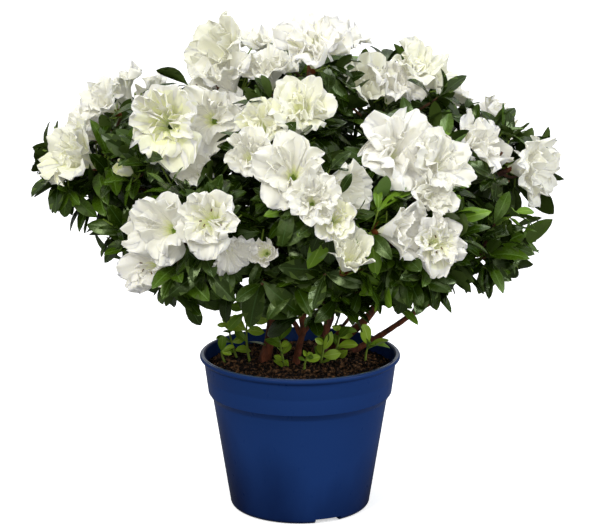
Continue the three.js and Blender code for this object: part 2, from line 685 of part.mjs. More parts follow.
// One mass: a stem that goes on from the bough's tip, twigs that leave it one above another, and
// at the end of each twig a bloom or a rosette of leaves.
function massSolid(mass, bough) {
  const chance = seeded(SEEDS.mass + SEEDS.massStep * mass.index);
  const onward = mass.hub.clone().sub(bough.stations.at(-2).point).normalize();
  const foot = mass.hub.clone().addScaledVector(onward, GAP);
  const top = mass.centre.clone().addScaledVector(mass.outward, mass.reach * STEM_TOP);
  const stem = [
    { point: foot, radius: BOUGH.tip, heading: onward },
    { point: foot.clone().lerp(top, 0.5).addScaledVector(onward, STEM_BOW), radius: BOUGH.tip },
    { point: top, radius: TWIG.stemTop },
  ];
  const blooms = bloomsOf(mass, chance);
  const taken = blooms.map(({ centre, facing, radius, open }) => {
    const rise = radius * THREE.MathUtils.lerp(BLOOM.coreRise.bud, BLOOM.coreRise.open, open);
    return { point: centre.clone().addScaledVector(facing, rise), radius: radius * BLOOM.core };
  });
  const twigs = [
    ...blooms.map((bloom) => ({ bloom, end: bloomNeck(bloom) })),
    ...shootsOf(mass, chance).map((end) => ({ end })),
  ];
  // The more a twig turns back, the lower on the stem it leaves.
  const lean = (twig) => twig.end.clone().sub(mass.centre).normalize().dot(mass.outward);
  twigs.sort((a, b) => lean(a) - lean(b));
  twigs.forEach((twig, i) => {
    const share = (2 * (i + TWIG.lowest)) / twigs.length;
    const [from, to] = share < 1 ? stem : stem.slice(1);
    twig.root = from.point.clone().lerp(to.point, share % 1);
  });
  // A leafy twig is left out where its way leads through a bloom or a limb.
  const wayIsFree = ({ root, end }) =>
    TWIG.tried.every((share) => {
      const point = root.clone().lerp(end, share);
      const clear = taken.every((bloom) => point.distanceTo(bloom.point) > bloom.radius + TWIG.radius);
      return roomInside(mass, point) > TWIG.room && clearOfLimbs(point) > TWIG.radius + GAP && clear;
    });
  const grown = twigs.filter((twig) => twig.bloom || wayIsFree(twig));
  const take = (points, radius, owner) => points.forEach((point) => taken.push({ point, radius, owner }));
  for (const twig of grown) {
    take(TWIG.taken.map((share) => twig.root.clone().lerp(twig.end, share)), TWIG.radius, twig);
    take([twig.end], WHORL.cleft, twig);
  }
  const solids = [limbSolid(stem, STEM_SIDES_IN_MASS)];
  for (const twig of grown) {
    const { root, end, bloom } = twig;
    if (bloom) {
      solids.push(loft(bloomRings(mass, bloom, root)));
      continue;
    }
    const clearOf = (point) => (other) =>
      other.owner === twig || point.distanceTo(other.point) > other.radius + LEAF.clear;
    const fits = (points) =>
      points.every(
        (point) =>
          roomInside(mass, point) > EDGE && clearOfLimbs(point) > LEAF.clear && taken.every(clearOf(point)),
      );
    const heading = end.clone().sub(root).normalize();
    const leaves = whorlOf(end, heading, LEAF.length, LEAF.tilts, fits, chance);
    leaves.forEach((leaf) => take(edgePoints(end, leaf), WHORL.radius, twig));
    const { guide, rings } = whorlRings(end, heading, leaves, TWIG.radius);
    solids.push(loft([ringAt(root, heading, TWIG.radius, TWIG_SIDES, guide), ...rings]));
  }
  return largestBody(join(solids));
}

// A young shoot from the foot: a thin stem with whorls of small leaves.
function basalShootSolid(plan, index) {
  const chance = seeded(SEEDS.basal + index);
  const foot = new THREE.Vector3(...plan.foot, GROUND + GAP);
  const tip = foot.clone().add(new THREE.Vector3(...plan.lean, plan.height));
  const heading = tip.clone().sub(foot).normalize();
  const fits = (points) => points.every((p) => clearOfLimbs(p) > LEAF.clear && p.z > GROUND + LEAF.clear);
  const rings = [ringAt(foot, new THREE.Vector3(0, 0, 1), BASAL.foot, TWIG_SIDES)];
  for (let k = 1; k <= plan.whorls; k++) {
    const at = foot.clone().lerp(tip, 1 - BASAL.between * (plan.whorls - k));
    const leaves = whorlOf(at, heading, plan.leaf, BASAL.tilts, fits, chance);
    const whorl = whorlRings(at, heading, leaves, BASAL.tip);
    rings.push(...(k < plan.whorls ? whorl.rings.slice(0, 2) : whorl.rings));
  }
  return loft(rings);
}

// ---------------------------------------------------------------- assembly

const plant = new THREE.Group();
function addPiece(name, solid, material) {
  const mesh = new THREE.Mesh(geometryOf(solid), material);
  mesh.name = name;
  plant.add(mesh);
}

addPiece("pot", potSolid(), POT_BLUE);
addPiece("root_ball", rootBallSolid(), PEAT);

for (const [name, stem] of Object.entries(STEMS)) {
  limbs.push({ name: `${name}_stem`, stations: stemStations(stem), sides: STEM.sides });
}
for (const mass of masses) {
  limbs.push({ name: `bough_${mass.name}`, stations: boughStations(mass), sides: BOUGH.sides });
}
const cutters = [];
for (const limb of limbs) {
  let solid = limbSolid(limb.stations, limb.sides);
  for (const cutter of cutters) solid = solid.subtract(cutter);
  addPiece(limb.name, largestBody(solid), BARK);
  cutters.push(limbSolid(widened(limb.stations), limb.sides));
}

masses.forEach((mass) => {
  const bough = limbs.find((limb) => limb.name === `bough_${mass.name}`);
  const blooming = mass.blooms.length || mass.wreath;
  addPiece(`foliage_${mass.name}`, massSolid(mass, bough), blooming ? PETAL_WHITE : DARK_LEAF);
});
Object.entries(BASAL_SHOOTS).forEach(([name, plan], index) => {
  addPiece(name, basalShootSolid(plan, index), YOUNG_LEAF);
});

export default plant;
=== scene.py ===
# %% [markdown]
# # A white azalea in its pot
#
# The real thing is a florist's azalea: a low, broad evergreen shrub with small dark leaves and
# semi-double white flowers, sold in a plain plastic pot.
# A CAD model gives its frame: where the pot stands, how the stems fork and how far each mass of
# foliage reaches. This lesson loads that frame and grows the real leaves, petals and bark on it.
# The CAD solids are plain, so nearly all of them are replaced here by finer meshes. They could
# have been given new materials only, but a plant is all edges and light, and needs its shape.

# %% Load the frame
import math

import bpy
import numpy as np
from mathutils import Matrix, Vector, noise


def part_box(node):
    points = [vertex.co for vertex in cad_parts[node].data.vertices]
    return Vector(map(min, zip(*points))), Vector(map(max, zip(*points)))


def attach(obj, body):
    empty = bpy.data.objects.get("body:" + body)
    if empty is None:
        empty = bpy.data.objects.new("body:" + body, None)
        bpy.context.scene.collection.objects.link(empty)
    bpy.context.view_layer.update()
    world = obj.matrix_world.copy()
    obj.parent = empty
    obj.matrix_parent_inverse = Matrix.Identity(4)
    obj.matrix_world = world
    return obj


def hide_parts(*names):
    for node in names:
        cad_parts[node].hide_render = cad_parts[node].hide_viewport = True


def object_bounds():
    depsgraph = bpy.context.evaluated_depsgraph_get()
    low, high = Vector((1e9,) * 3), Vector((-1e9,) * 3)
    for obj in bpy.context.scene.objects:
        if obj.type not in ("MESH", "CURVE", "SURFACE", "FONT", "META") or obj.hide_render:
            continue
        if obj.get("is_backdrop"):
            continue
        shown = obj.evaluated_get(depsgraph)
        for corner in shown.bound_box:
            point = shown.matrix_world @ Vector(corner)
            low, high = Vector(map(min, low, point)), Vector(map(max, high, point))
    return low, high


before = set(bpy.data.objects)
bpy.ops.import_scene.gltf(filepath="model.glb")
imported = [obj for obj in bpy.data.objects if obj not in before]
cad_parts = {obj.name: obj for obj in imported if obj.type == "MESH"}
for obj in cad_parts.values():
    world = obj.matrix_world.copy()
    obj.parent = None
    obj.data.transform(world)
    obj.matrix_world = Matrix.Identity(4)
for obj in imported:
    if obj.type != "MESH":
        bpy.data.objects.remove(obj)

CAD_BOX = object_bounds()
MM = 0.001  # the plan of the plant is in millimetres, and Blender works in metres
print("CAD nodes:", len(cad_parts), "box in mm:", [[round(x / MM) for x in c] for c in CAD_BOX])

# %% [markdown]
# ## Camera, floor and light
#
# A product picture is taken from a little above, with a long lens, so that the pot's sides stay
# nearly parallel. The floor is large, plain and pale, and fills the whole background.
# Big area lights and a sky that is brighter above give soft light with clear highlights on the
# leaves. A single lamp would make hard shadows among the petals, and an even sky a grey haze.

# %% The camera
POT_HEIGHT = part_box("pot")[1].z
CAMERA_DISTANCE = 1.6
CAMERA_RISE = math.radians(15.6)  # how far above the pot's rim the camera stands
CAMERA_PITCH = math.radians(13.38)  # how far it looks down
CAMERA_LENS = 137.2  # mm, a long lens

camera = bpy.data.objects.new("camera", bpy.data.cameras.new("camera"))
bpy.context.scene.collection.objects.link(camera)
camera.data.lens = CAMERA_LENS
camera.location = (
    0,
    -CAMERA_DISTANCE * math.cos(CAMERA_RISE),
    POT_HEIGHT + CAMERA_DISTANCE * math.sin(CAMERA_RISE),
)
camera.rotation_euler = (math.pi / 2 - CAMERA_PITCH, 0, 0)
bpy.context.scene.camera = camera
print("camera at", [round(x, 3) for x in camera.location])


# %% The lights
def area_light(name, place, size, watts, colour, aim=(0, 0, 0.2)):
    """A square light that faces aim."""
    light = bpy.data.lights.new(name, "AREA")
    light.size = size
    light.energy = watts
    light.color = colour
    lamp = bpy.data.objects.new(name, light)
    lamp.location = place
    lamp.rotation_euler = (Vector(aim) - Vector(place)).to_track_quat("-Z", "Y").to_euler()
    bpy.context.scene.collection.objects.link(lamp)


area_light("key_light", (-1.15, -1.65, 1.9), 1.0, 34.5, (1.0, 0.985, 0.96))
area_light("fill_light", (1.8, -0.8, 0.95), 0.7, 18, (0.94, 0.97, 1.0))
area_light("front_light", (0.1, -2.4, 0.9), 1.3, 9, (1.0, 1.0, 1.0))
area_light("top_light", (0.2, 0.9, 2.2), 0.8, 7, (0.97, 0.98, 1.0))

bpy.context.scene.view_settings.view_transform = "Standard"

# %% [markdown]
# ## Shader node groups
#
# Most finishes here share a few effects: a fine grain, two colours mixed in patches, worn edges
# and dust that settles on what faces up. Each is built once as a node group with named inputs and
# outputs, and each material places it with values of its own.
# The patterns are 3D noise in object space, so that they need no unwrapping.


# %% Helpers for node trees
BLACK, NO_STRETCH = (0, 0, 0, 1), (1, 1, 1)


def new_group(name, inputs, outputs):
    """An empty shader node group. Each socket has a name and a first value, which says its kind: a
    number, three for a vector or four for a colour. Returns the tree and its two end nodes."""
    tree = bpy.data.node_groups.new(name, "ShaderNodeTree")
    for way, sockets in (("INPUT", inputs), ("OUTPUT", outputs)):
        for label, value in sockets.items():
            kind = "Float" if isinstance(value, float) else {3: "Vector", 4: "Color"}[len(value)]
            socket = tree.interface.new_socket(label, in_out=way, socket_type="NodeSocket" + kind)
            socket.default_value = value
    return tree, tree.nodes.new("NodeGroupInput"), tree.nodes.new("NodeGroupOutput")


def feed(tree, socket, value):
    """Links another socket to an input, or sets it to a plain value."""
    if isinstance(value, bpy.types.NodeSocket):
        tree.links.new(value, socket)
    else:
        socket.default_value = value


def maths(tree, operation, first, second):
    """A Math node, whose inputs are sockets or numbers. Returns its output."""
    node = tree.nodes.new("ShaderNodeMath")
    node.operation = operation
    feed(tree, node.inputs[0], first)
    feed(tree, node.inputs[1], second)
    return node.outputs[0]


def spread_out(tree, value, low, high, to_low=0.0, to_high=1.0):
    """A Map Range node: stretches low..high to to_low..to_high and clamps it."""
    node = tree.nodes.new("ShaderNodeMapRange")
    for label, number in (("From Min", low), ("From Max", high), ("To Min", to_low), ("To Max", to_high)):
        feed(tree, node.inputs[label], number)
    tree.links.new(value, node.inputs["Value"])
    return node.outputs["Result"]


def mix_colours(tree, mask, first, second):
    """A Mix node for colours. Its colour sockets come after those for numbers and vectors."""
    node = tree.nodes.new("ShaderNodeMix")
    node.data_type = "RGBA"
    tree.links.new(mask, node.inputs[0])
    tree.links.new(first, node.inputs[6])
    tree.links.new(second, node.inputs[7])
    return node.outputs[2]


def object_noise(tree, scale, stretch=None, detail=4.0):
    """3D noise in object space. scale and stretch may be sockets. Returns the noise node."""
    place = tree.nodes.new("ShaderNodeTexCoord").outputs["Object"]
    if stretch is not None:
        stretched = tree.nodes.new("ShaderNodeVectorMath")
        stretched.operation = "MULTIPLY"
        tree.links.new(place, stretched.inputs[0])
        tree.links.new(stretch, stretched.inputs[1])
        place = stretched.outputs[0]
    node = tree.nodes.new("ShaderNodeTexNoise")
    node.inputs["Detail"].default_value = detail
    tree.links.new(place, node.inputs["Vector"])
    tree.links.new(scale, node.inputs["Scale"])
    return node


# %% The sky
HORIZON, ZENITH = 0.12, 1.0  # strength of the sky
ZENITH_FROM = 0.85  # how high up it reaches its full strength: 0 is level and 1 overhead
SKY_COLOUR = (0.96, 0.98, 1.0, 1)


def gradient_sky():
    """A sky that is brightest overhead. Where it is seen directly it is plain white."""
    world = bpy.data.worlds.new("sky")
    world.use_nodes = True
    tree = world.node_tree
    parts = tree.nodes.new("ShaderNodeSeparateXYZ")
    tree.links.new(tree.nodes.new("ShaderNodeTexCoord").outputs["Generated"], parts.inputs[0])
    height = spread_out(tree, parts.outputs["Z"], 0.0, ZENITH_FROM, HORIZON, ZENITH)
    seen = tree.nodes.new("ShaderNodeLightPath").outputs["Is Camera Ray"]
    background = tree.nodes["Background"]
    background.inputs["Color"].default_value = SKY_COLOUR
    tree.links.new(maths(tree, "MAXIMUM", height, seen), background.inputs["Strength"])
    return world


bpy.context.scene.world = gradient_sky()


# %% The groups
PATCH_EDGE = 0.16  # how softly one colour goes over into the other


def grain_group():
    """Fine relief: a height for a Bump node, and a roughness that wanders with it."""
    tree, start, end = new_group(
        "grain",
        {"Scale": 400.0, "Stretch": NO_STRETCH, "Smoothest": 0.3, "Roughest": 0.5},
        {"Height": 0.0, "Roughness": 0.5},
    )
    fine = object_noise(tree, start.outputs["Scale"], start.outputs["Stretch"])
    smoothest, roughest = start.outputs["Smoothest"], start.outputs["Roughest"]
    rough = spread_out(tree, fine.outputs["Fac"], 0.3, 0.7, smoothest, roughest)
    tree.links.new(fine.outputs["Fac"], end.inputs["Height"])
    tree.links.new(rough, end.inputs["Roughness"])
    return tree


def patches_group():
    """Two colours in soft patches."""
    tree, start, end = new_group(
        "patches",
        {
            "Colour A": BLACK,
            "Colour B": (1, 1, 1, 1),
            "Scale": 20.0,
            "Stretch": NO_STRETCH,
            "Share of B": 0.5,
        },
        {"Colour": BLACK},
    )
    patch = object_noise(tree, start.outputs["Scale"], start.outputs["Stretch"], detail=6.0)
    edge = maths(tree, "SUBTRACT", 1.0, start.outputs["Share of B"])
    low = maths(tree, "SUBTRACT", edge, PATCH_EDGE)
    high = maths(tree, "ADD", edge, PATCH_EDGE)
    mask = spread_out(tree, patch.outputs["Fac"], low, high)
    mixed = mix_colours(tree, mask, start.outputs["Colour A"], start.outputs["Colour B"])
    tree.links.new(mixed, end.inputs["Colour"])
    return tree


def wear_group():
    """Rubbed edges and settled dust laid over a colour. Dust lies where the surface faces up."""
    tree, start, end = new_group(
        "wear",
        {
            "Colour": (0.5, 0.5, 0.5, 1),
            "Rubbed Colour": (0.6, 0.6, 0.6, 1),
            "Rubbing": 0.5,
            "Dust Colour": (0.3, 0.25, 0.2, 1),
            "Dust": 0.3,
            "Scale": 90.0,
        },
        {"Colour": BLACK},
    )
    shape = tree.nodes.new("ShaderNodeNewGeometry")
    uneven = object_noise(tree, start.outputs["Scale"], detail=5.0).outputs["Fac"]
    edge = spread_out(tree, shape.outputs["Pointiness"], 0.52, 0.62)
    rubbed = maths(tree, "MULTIPLY", maths(tree, "MULTIPLY", edge, uneven), start.outputs["Rubbing"])
    parts = tree.nodes.new("ShaderNodeSeparateXYZ")
    tree.links.new(shape.outputs["Normal"], parts.inputs[0])
    upward = spread_out(tree, parts.outputs["Z"], 0.25, 0.9)
    patchy = spread_out(tree, uneven, 0.42, 0.66)
    dusty = maths(tree, "MULTIPLY", maths(tree, "MULTIPLY", upward, patchy), start.outputs["Dust"])
    colour = start.outputs["Colour"]
    for mask, over in ((rubbed, "Rubbed Colour"), (dusty, "Dust Colour")):
        colour = mix_colours(tree, mask, colour, start.outputs[over])
    tree.links.new(colour, end.inputs["Colour"])
    return tree


GRAIN = grain_group()
PATCHES = patches_group()
WEAR = wear_group()
print("node groups:", [g.name for g in bpy.data.node_groups])

# %% [markdown]
# ## Materials
#
# Leaves and petals keep one plain base colour for each material, and their variety comes from
# dealing several such materials out by spray and by part of the petal. Their roughness and bump
# come from nodes. The pot, the peat and the bark have their colours from nodes too.
# Petals are thin and let light through. A little subsurface scattering gives them that glow at
# much less cost than real transparency, and a faint emission paints more glow into their shade.


# %% Helpers for materials
def place_group(material, group, values):
    """Adds a node group to a material and sets its inputs. A value may be a socket to link."""
    node = material.node_tree.nodes.new("ShaderNodeGroup")
    node.node_tree = group
    for label, value in values.items():
        feed(material.node_tree, node.inputs[label], value)
    return node


def shader_of(material):
    """The Principled shader of a material."""
    return material.node_tree.nodes["Principled BSDF"]


def new_material(name, colour, **constants):
    """A Principled material with a plain base colour and constant sockets."""
    material = bpy.data.materials.new(name)
    material.use_nodes = True
    shader = shader_of(material)
    shader.inputs["Base Color"].default_value = (*colour, 1)
    material.diffuse_color = (*colour, 1)
    for label, value in constants.items():
        shader.inputs[label.replace("_", " ").title().replace("Ior", "IOR")].default_value = value
    return material


def add_grain(material, scale, smoothest, roughest, height, stretch=NO_STRETCH):
    """Roughness and bump from the grain group. height is the relief in metres."""
    tree, shader = material.node_tree, shader_of(material)
    grain = place_group(
        material, GRAIN, {"Scale": scale, "Stretch": stretch, "Smoothest": smoothest, "Roughest": roughest}
    )
    bump = tree.nodes.new("ShaderNodeBump")
    bump.inputs["Distance"].default_value = height
    tree.links.new(grain.outputs["Height"], bump.inputs["Height"])
    tree.links.new(grain.outputs["Roughness"], shader.inputs["Roughness"])
    tree.links.new(bump.outputs["Normal"], shader.inputs["Normal"])
    return material


def two_colours(material, colour_a, colour_b, scale, share_of_b, stretch=NO_STRETCH):
    """Adds the patches group to a material. Returns the socket of its colour."""
    values = {
        "Colour A": (*colour_a, 1),
        "Colour B": (*colour_b, 1),
        "Scale": scale,
        "Stretch": stretch,
        "Share of B": share_of_b,
    }
    return place_group(material, PATCHES, values).outputs["Colour"]


def colour_from(material, socket):
    """Links a material's base colour to a socket."""
    material.node_tree.links.new(socket, shader_of(material).inputs["Base Color"])


# %% Leaves
LEAF_SHINE = (0.78, 1.0, 0.50, 1)  # waxy leaves shine a little green
LEAF_GRAIN, PETAL_GRAIN = 500.0, 650.0  # scale of their noise: the higher, the finer
FINE_RELIEF = 0.0001  # m


def leaf_material(name, colour, smoothest, roughest):
    """Leathery leaf: a clear highlight over a plain green."""
    material = new_material(name, colour, specular_ior_level=0.48, specular_tint=LEAF_SHINE)
    return add_grain(material, LEAF_GRAIN, smoothest, roughest, FINE_RELIEF)


LEAF_KINDS = {  # colour of the blade, how smooth and how rough it is, and the same for its midrib
    "dark": ((0.0105, 0.0225, 0.0007), 0.15, 0.28, (0.022, 0.046, 0.009), 0.3, 0.45),
    "deep": ((0.0200, 0.0420, 0.0014), 0.16, 0.30, (0.032, 0.070, 0.013), 0.3, 0.45),
    "green": ((0.046, 0.094, 0.0035), 0.20, 0.35, (0.095, 0.180, 0.026), 0.4, 0.55),
    "young": ((0.125, 0.235, 0.014), 0.28, 0.42, (0.220, 0.360, 0.050), 0.42, 0.58),
    # fresh leaves grow only on the shoots at the foot: their bright green is partly their own and partly
    # painted light against the crown's shade
    "fresh": ((0.300, 0.460, 0.034), 0.28, 0.42, (0.420, 0.580, 0.100), 0.42, 0.58),
}
KINDS = list(LEAF_KINDS)
LEAF_MATERIALS = [leaf_material(f"leaf_{kind}", *LEAF_KINDS[kind][:3]) for kind in KINDS]
LEAF_MATERIALS += [leaf_material(f"vein_{kind}", *LEAF_KINDS[kind][3:]) for kind in KINDS]
LEAF_MATERIALS += [
    leaf_material("leaf_underside", (0.045, 0.075, 0.010), 0.5, 0.65),
    leaf_material("young_underside", (0.150, 0.250, 0.060), 0.5, 0.65),
]
CALYX = leaf_material("calyx_green", (0.260, 0.360, 0.060), 0.4, 0.55)
BUD_SCALE = leaf_material("bud_scale", (0.210, 0.050, 0.018), 0.4, 0.6)


# %% Petals
def petal_material(name, colour):
    """Thin white petal: soft, with a little subsurface light, and a faint glow painted on by emission."""
    material = new_material(
        name,
        colour,
        specular_ior_level=0.3,
        subsurface_weight=1.0,
        subsurface_radius=(1.0, 1.0, 0.85),
        subsurface_scale=0.0004,
        # a faint emission: painted light that lifts the shade of the petals, though they are no lamp
        emission_color=(1.0, 0.98, 0.89, 1),
        emission_strength=0.065,
    )
    return add_grain(material, PETAL_GRAIN, 0.5, 0.65, FINE_RELIEF)


PETAL_BLADES = [
    petal_material("petal_white", (0.80, 0.787, 0.72)),
    petal_material("petal_soft", (0.78, 0.77, 0.685)),
    petal_material("petal_ivory", (0.77, 0.765, 0.64)),
]
PETAL_FOOT = [
    petal_material("petal_warm", (0.81, 0.81, 0.61)),
    petal_material("petal_cream", (0.79, 0.81, 0.47)),
    petal_material("petal_lime", (0.70, 0.77, 0.28)),
    petal_material("petal_throat", (0.55, 0.64, 0.13)),
]
STAMEN = petal_material("stamen_white", (0.78, 0.80, 0.62))
ANTHER = new_material("anther_brown", (0.12, 0.06, 0.03), roughness=0.7)
add_grain(ANTHER, 900.0, 0.6, 0.8, 0.0002)


# %% Bark and green wood
def bark_material(name, light, dark, scale, height):
    """Thin flaking bark, streaked along the limb."""
    material = new_material(name, light, specular_ior_level=0.35)
    colour_from(material, two_colours(material, light, dark, scale, 0.5, (1, 1, 0.35)))
    return add_grain(material, scale * 4, 0.5, 0.8, height, (1, 1, 0.3))


BARK = bark_material("bark", (0.270, 0.080, 0.034), (0.060, 0.022, 0.013), 190.0, 0.0012)
TWIG_BARK = bark_material("twig_bark", (0.150, 0.060, 0.028), (0.060, 0.034, 0.016), 260.0, 0.0006)
GREEN_WOOD = leaf_material("green_wood", (0.200, 0.290, 0.040), 0.4, 0.55)


# %% Pot plastic and peat
POT_FOOT_SHADE = (0.33, 0.72)  # share of the lighter blue, at the foot and from 0.7 of the height up: less below, as painted shade


def pot_material():
    """Semi-gloss moulded plastic, darker towards the foot as painted shade, rubbed on its edges and
    dusty where it faces up."""
    material = new_material("pot_plastic", (0.0045, 0.0165, 0.083), specular_ior_level=0.06)
    tree = material.node_tree
    place = tree.nodes.new("ShaderNodeSeparateXYZ")
    tree.links.new(tree.nodes.new("ShaderNodeTexCoord").outputs["Object"], place.inputs[0])
    # two blues in patches, with less of the lighter one towards the foot: painted shade
    foot_shade_share = spread_out(tree, place.outputs["Z"], 0.0, 0.7 * POT_HEIGHT, *POT_FOOT_SHADE)
    deep_blue, soft_blue = (0.0024, 0.0085, 0.046), (0.0112, 0.0400, 0.163)
    wear = place_group(
        material,
        WEAR,
        {
            "Colour": two_colours(material, deep_blue, soft_blue, 9.0, foot_shade_share, (1, 1, 0.4)),
            "Rubbed Colour": (0.030, 0.058, 0.15, 1),
            "Rubbing": 0.55,
            "Dust Colour": (0.10, 0.07, 0.05, 1),
            "Dust": 0.12,
        },
    )
    colour_from(material, wear.outputs["Colour"])
    return add_grain(material, 260.0, 0.27, 0.36, 0.00004, (1, 1, 0.5))


def peat_material():
    """Damp peat: near black, with brown crumbs."""
    material = new_material("peat", (0.02, 0.01, 0.006), specular_ior_level=0.25)
    damp, crumb = (0.0060, 0.0020, 0.0008), (0.400, 0.200, 0.085)
    colour_from(material, two_colours(material, damp, crumb, 330.0, 0.36))
    return add_grain(material, 700.0, 0.75, 1.0, 0.002)


POT_PLASTIC = pot_material()
# The top band of the rim: glossier than the pot for real highlights, and a lighter blue that paints the
# highlight line along it.
RIM_HIGHLIGHT = new_material("rim_painted_highlight", (0.06, 0.10, 0.20), specular_ior_level=0.9, ior=1.9)
add_grain(RIM_HIGHLIGHT, 260.0, 0.06, 0.14, 0.00002)
PEAT = peat_material()

FLOOR_GLOW, FLOOR_DIM = 0.52, 0.18  # light it shows to the camera, and its colour for the plant
FLOOR_WHITE = 0.9


def floor_material():
    """A white floor. It gives the plant less light than it shows, like a table on a dark floor."""
    material = new_material("floor_white", [FLOOR_WHITE] * 3, emission_color=(1, 1, 1, 1))
    tree, shader = material.node_tree, shader_of(material)
    seen = tree.nodes.new("ShaderNodeLightPath").outputs["Is Camera Ray"]
    tree.links.new(spread_out(tree, seen, 0.0, 1.0, 0.0, FLOOR_GLOW), shader.inputs["Emission Strength"])
    colour_from(material, spread_out(tree, seen, 0.0, 1.0, FLOOR_DIM, FLOOR_WHITE))
    material.cycles.emission_sampling = "NONE"
    return add_grain(material, 30.0, 0.85, 0.95, FINE_RELIEF)


FLOOR = floor_material()
print("materials:", len(bpy.data.materials))

# %% [markdown]
# ## Building meshes from arrays
#
# The plant has thousands of leaves and hundreds of petals. Making each one as an object would be
# slow, and particles would be lost when the model is exported. So each kind of thing is worked
# out for all its copies at once, as arrays of points, and gathered in a heap that becomes one mesh.
# A leaf or petal is a thin lens: an upper sheet and an under sheet that share their edge, so that
# it is closed and has a real thickness.


# %% A heap of geometry
class Heap:
    """Points, faces and material numbers, gathered until they become one mesh."""

    def __init__(self):
        self.points, self.faces, self.slots = [], [], []
        self.count = 0

    def add(self, points, groups):
        """points is (copies, n, 3). groups is a list of (faces of one copy, slots by copy and face)."""
        copies, each = points.shape[0], points.shape[1]
        starts = self.count + each * np.arange(copies)[:, None, None]
        for faces, slots in groups:
            self.faces.append((faces[None] + starts).reshape(-1, faces.shape[1]))
            self.slots.append(np.broadcast_to(slots, (copies, len(faces))).reshape(-1))
        self.points.append(points.reshape(-1, 3))
        self.count += copies * each

    def triangles(self):
        """How many triangles its faces come to."""
        return sum(len(f) * (f.shape[1] - 2) for f in self.faces)

    def build(self, name, materials, sharp_above=60):
        """The object. Edges that fold more than sharp_above degrees are drawn sharp."""
        mesh = bpy.data.meshes.new(name)
        points = np.concatenate(self.points) * MM
        corners = np.concatenate([f.ravel() for f in self.faces])
        sizes = np.concatenate([np.full(len(f), f.shape[1]) for f in self.faces])
        mesh.vertices.add(len(points))
        mesh.vertices.foreach_set("co", points.astype(np.float32).ravel())
        mesh.loops.add(len(corners))
        mesh.loops.foreach_set("vertex_index", corners.astype(np.int32))
        mesh.polygons.add(len(sizes))
        mesh.polygons.foreach_set("loop_start", (np.cumsum(sizes) - sizes).astype(np.int32))
        mesh.polygons.foreach_set("material_index", np.concatenate(self.slots).astype(np.int32))
        mesh.polygons.foreach_set("use_smooth", np.ones(len(sizes), bool))
        for material in materials:
            mesh.materials.append(material)
        mesh.update(calc_edges=True)
        mesh.set_sharp_from_angle(angle=math.radians(sharp_above))
        piece = bpy.data.objects.new(name, mesh)
        bpy.context.scene.collection.objects.link(piece)
        print(f"{name}: {self.triangles()} triangles")
        return piece


# %% Faces of a lens
def lens_faces(rows, columns, under):
    """Faces of a closed lens. Its upper sheet has rows x columns points. Its under sheet has
    only the columns named in under, and shares the points of the upper one all round the edge.
    Returns quads of the upper sheet, quads of the under sheet, and end triangles."""
    inner = under[1:-1]
    below = {}
    for r in range(1, rows - 1):
        for i, c in enumerate(inner):
            below[r, c] = rows * columns + (r - 1) * len(inner) + i

    def low(r, c):
        return below.get((r, c), r * columns + c)

    upper = [
        (r * columns + c, r * columns + c + 1, (r + 1) * columns + c + 1, (r + 1) * columns + c)
        for r in range(rows - 1)
        for c in range(columns - 1)
    ]
    lower, ends = [], []
    for a, b in zip(under, under[1:]):
        lower += [(low(r, a), low(r + 1, a), low(r + 1, b), low(r, b)) for r in range(rows - 1)]
        if b - a == 2:
            last = (rows - 1) * columns
            ends += [(a, b, a + 1), (last + a, last + a + 1, last + b)]
    return np.array(upper), np.array(lower), np.array(ends)


def lens_points(grid, normal, thickness, under):
    """Points of lenses: their upper grids (copies, rows, columns, 3), and the inner points of
    their under sheets, set back along the normal."""
    inner = (grid - normal * thickness)[:, 1:-1][:, :, under[1:-1]]
    return np.concatenate([sheet.reshape(len(grid), -1, 3) for sheet in (grid, inner)], 1)


def laid_out(foot, direction, side, up, on, over, lift):
    """Grids of points from the foot of each copy: on along it, over to the side and lift upwards."""
    grid = foot[:, None, None]
    for amount, way in ((on, direction), (over, side), (lift, up)):
        grid = grid + amount[..., None] * way[:, None, None]
    return grid


def unit(vectors):
    """Vectors scaled to a length of 1."""
    return vectors / np.linalg.norm(vectors, axis=-1, keepdims=True)


def square_to(vectors, directions):
    """What is left of the vectors square to the directions, scaled to a length of 1."""
    return unit(vectors - directions * (vectors * directions).sum(-1, keepdims=True))


# %% Round twigs
def tube_rings(paths, radii, sides):
    """Rings of points along many paths at once. paths is (copies, n, 3) and radii (copies, n)."""
    headings = unit(np.gradient(paths, axis=1))
    guide = np.where(np.abs(headings[:, 0, 2:]) > 0.95, [[0.0, 1.0, 0.0]], [[0.0, 0.0, 1.0]])
    side = np.cross(headings[:, 0], guide)
    angles = 2 * np.pi * np.arange(sides) / sides
    rings = np.empty((*paths.shape[:2], sides, 3))
    for k in range(paths.shape[1]):
        side = square_to(side, headings[:, k])
        up = np.cross(headings[:, k], side)
        rim = side[:, None] * np.cos(angles)[:, None] + up[:, None] * np.sin(angles)[:, None]
        rings[:, k] = paths[:, k, None] + rim * radii[:, k, None, None]
    return rings


def tube_faces(count, sides):
    """Quads between count rings, and the triangles of both end caps, whose middles come last."""
    around = np.arange(sides)
    after = (around + 1) % sides
    one = np.stack([around, after, after + sides, around + sides], 1)
    walls = [one + k * sides for k in range(count - 1)]
    last = (count - 1) * sides
    foot = np.stack([np.full(sides, count * sides), after, around], 1)
    tip = np.stack([np.full(sides, count * sides + 1), last + around, last + after], 1)
    return np.concatenate(walls), np.concatenate([foot, tip])


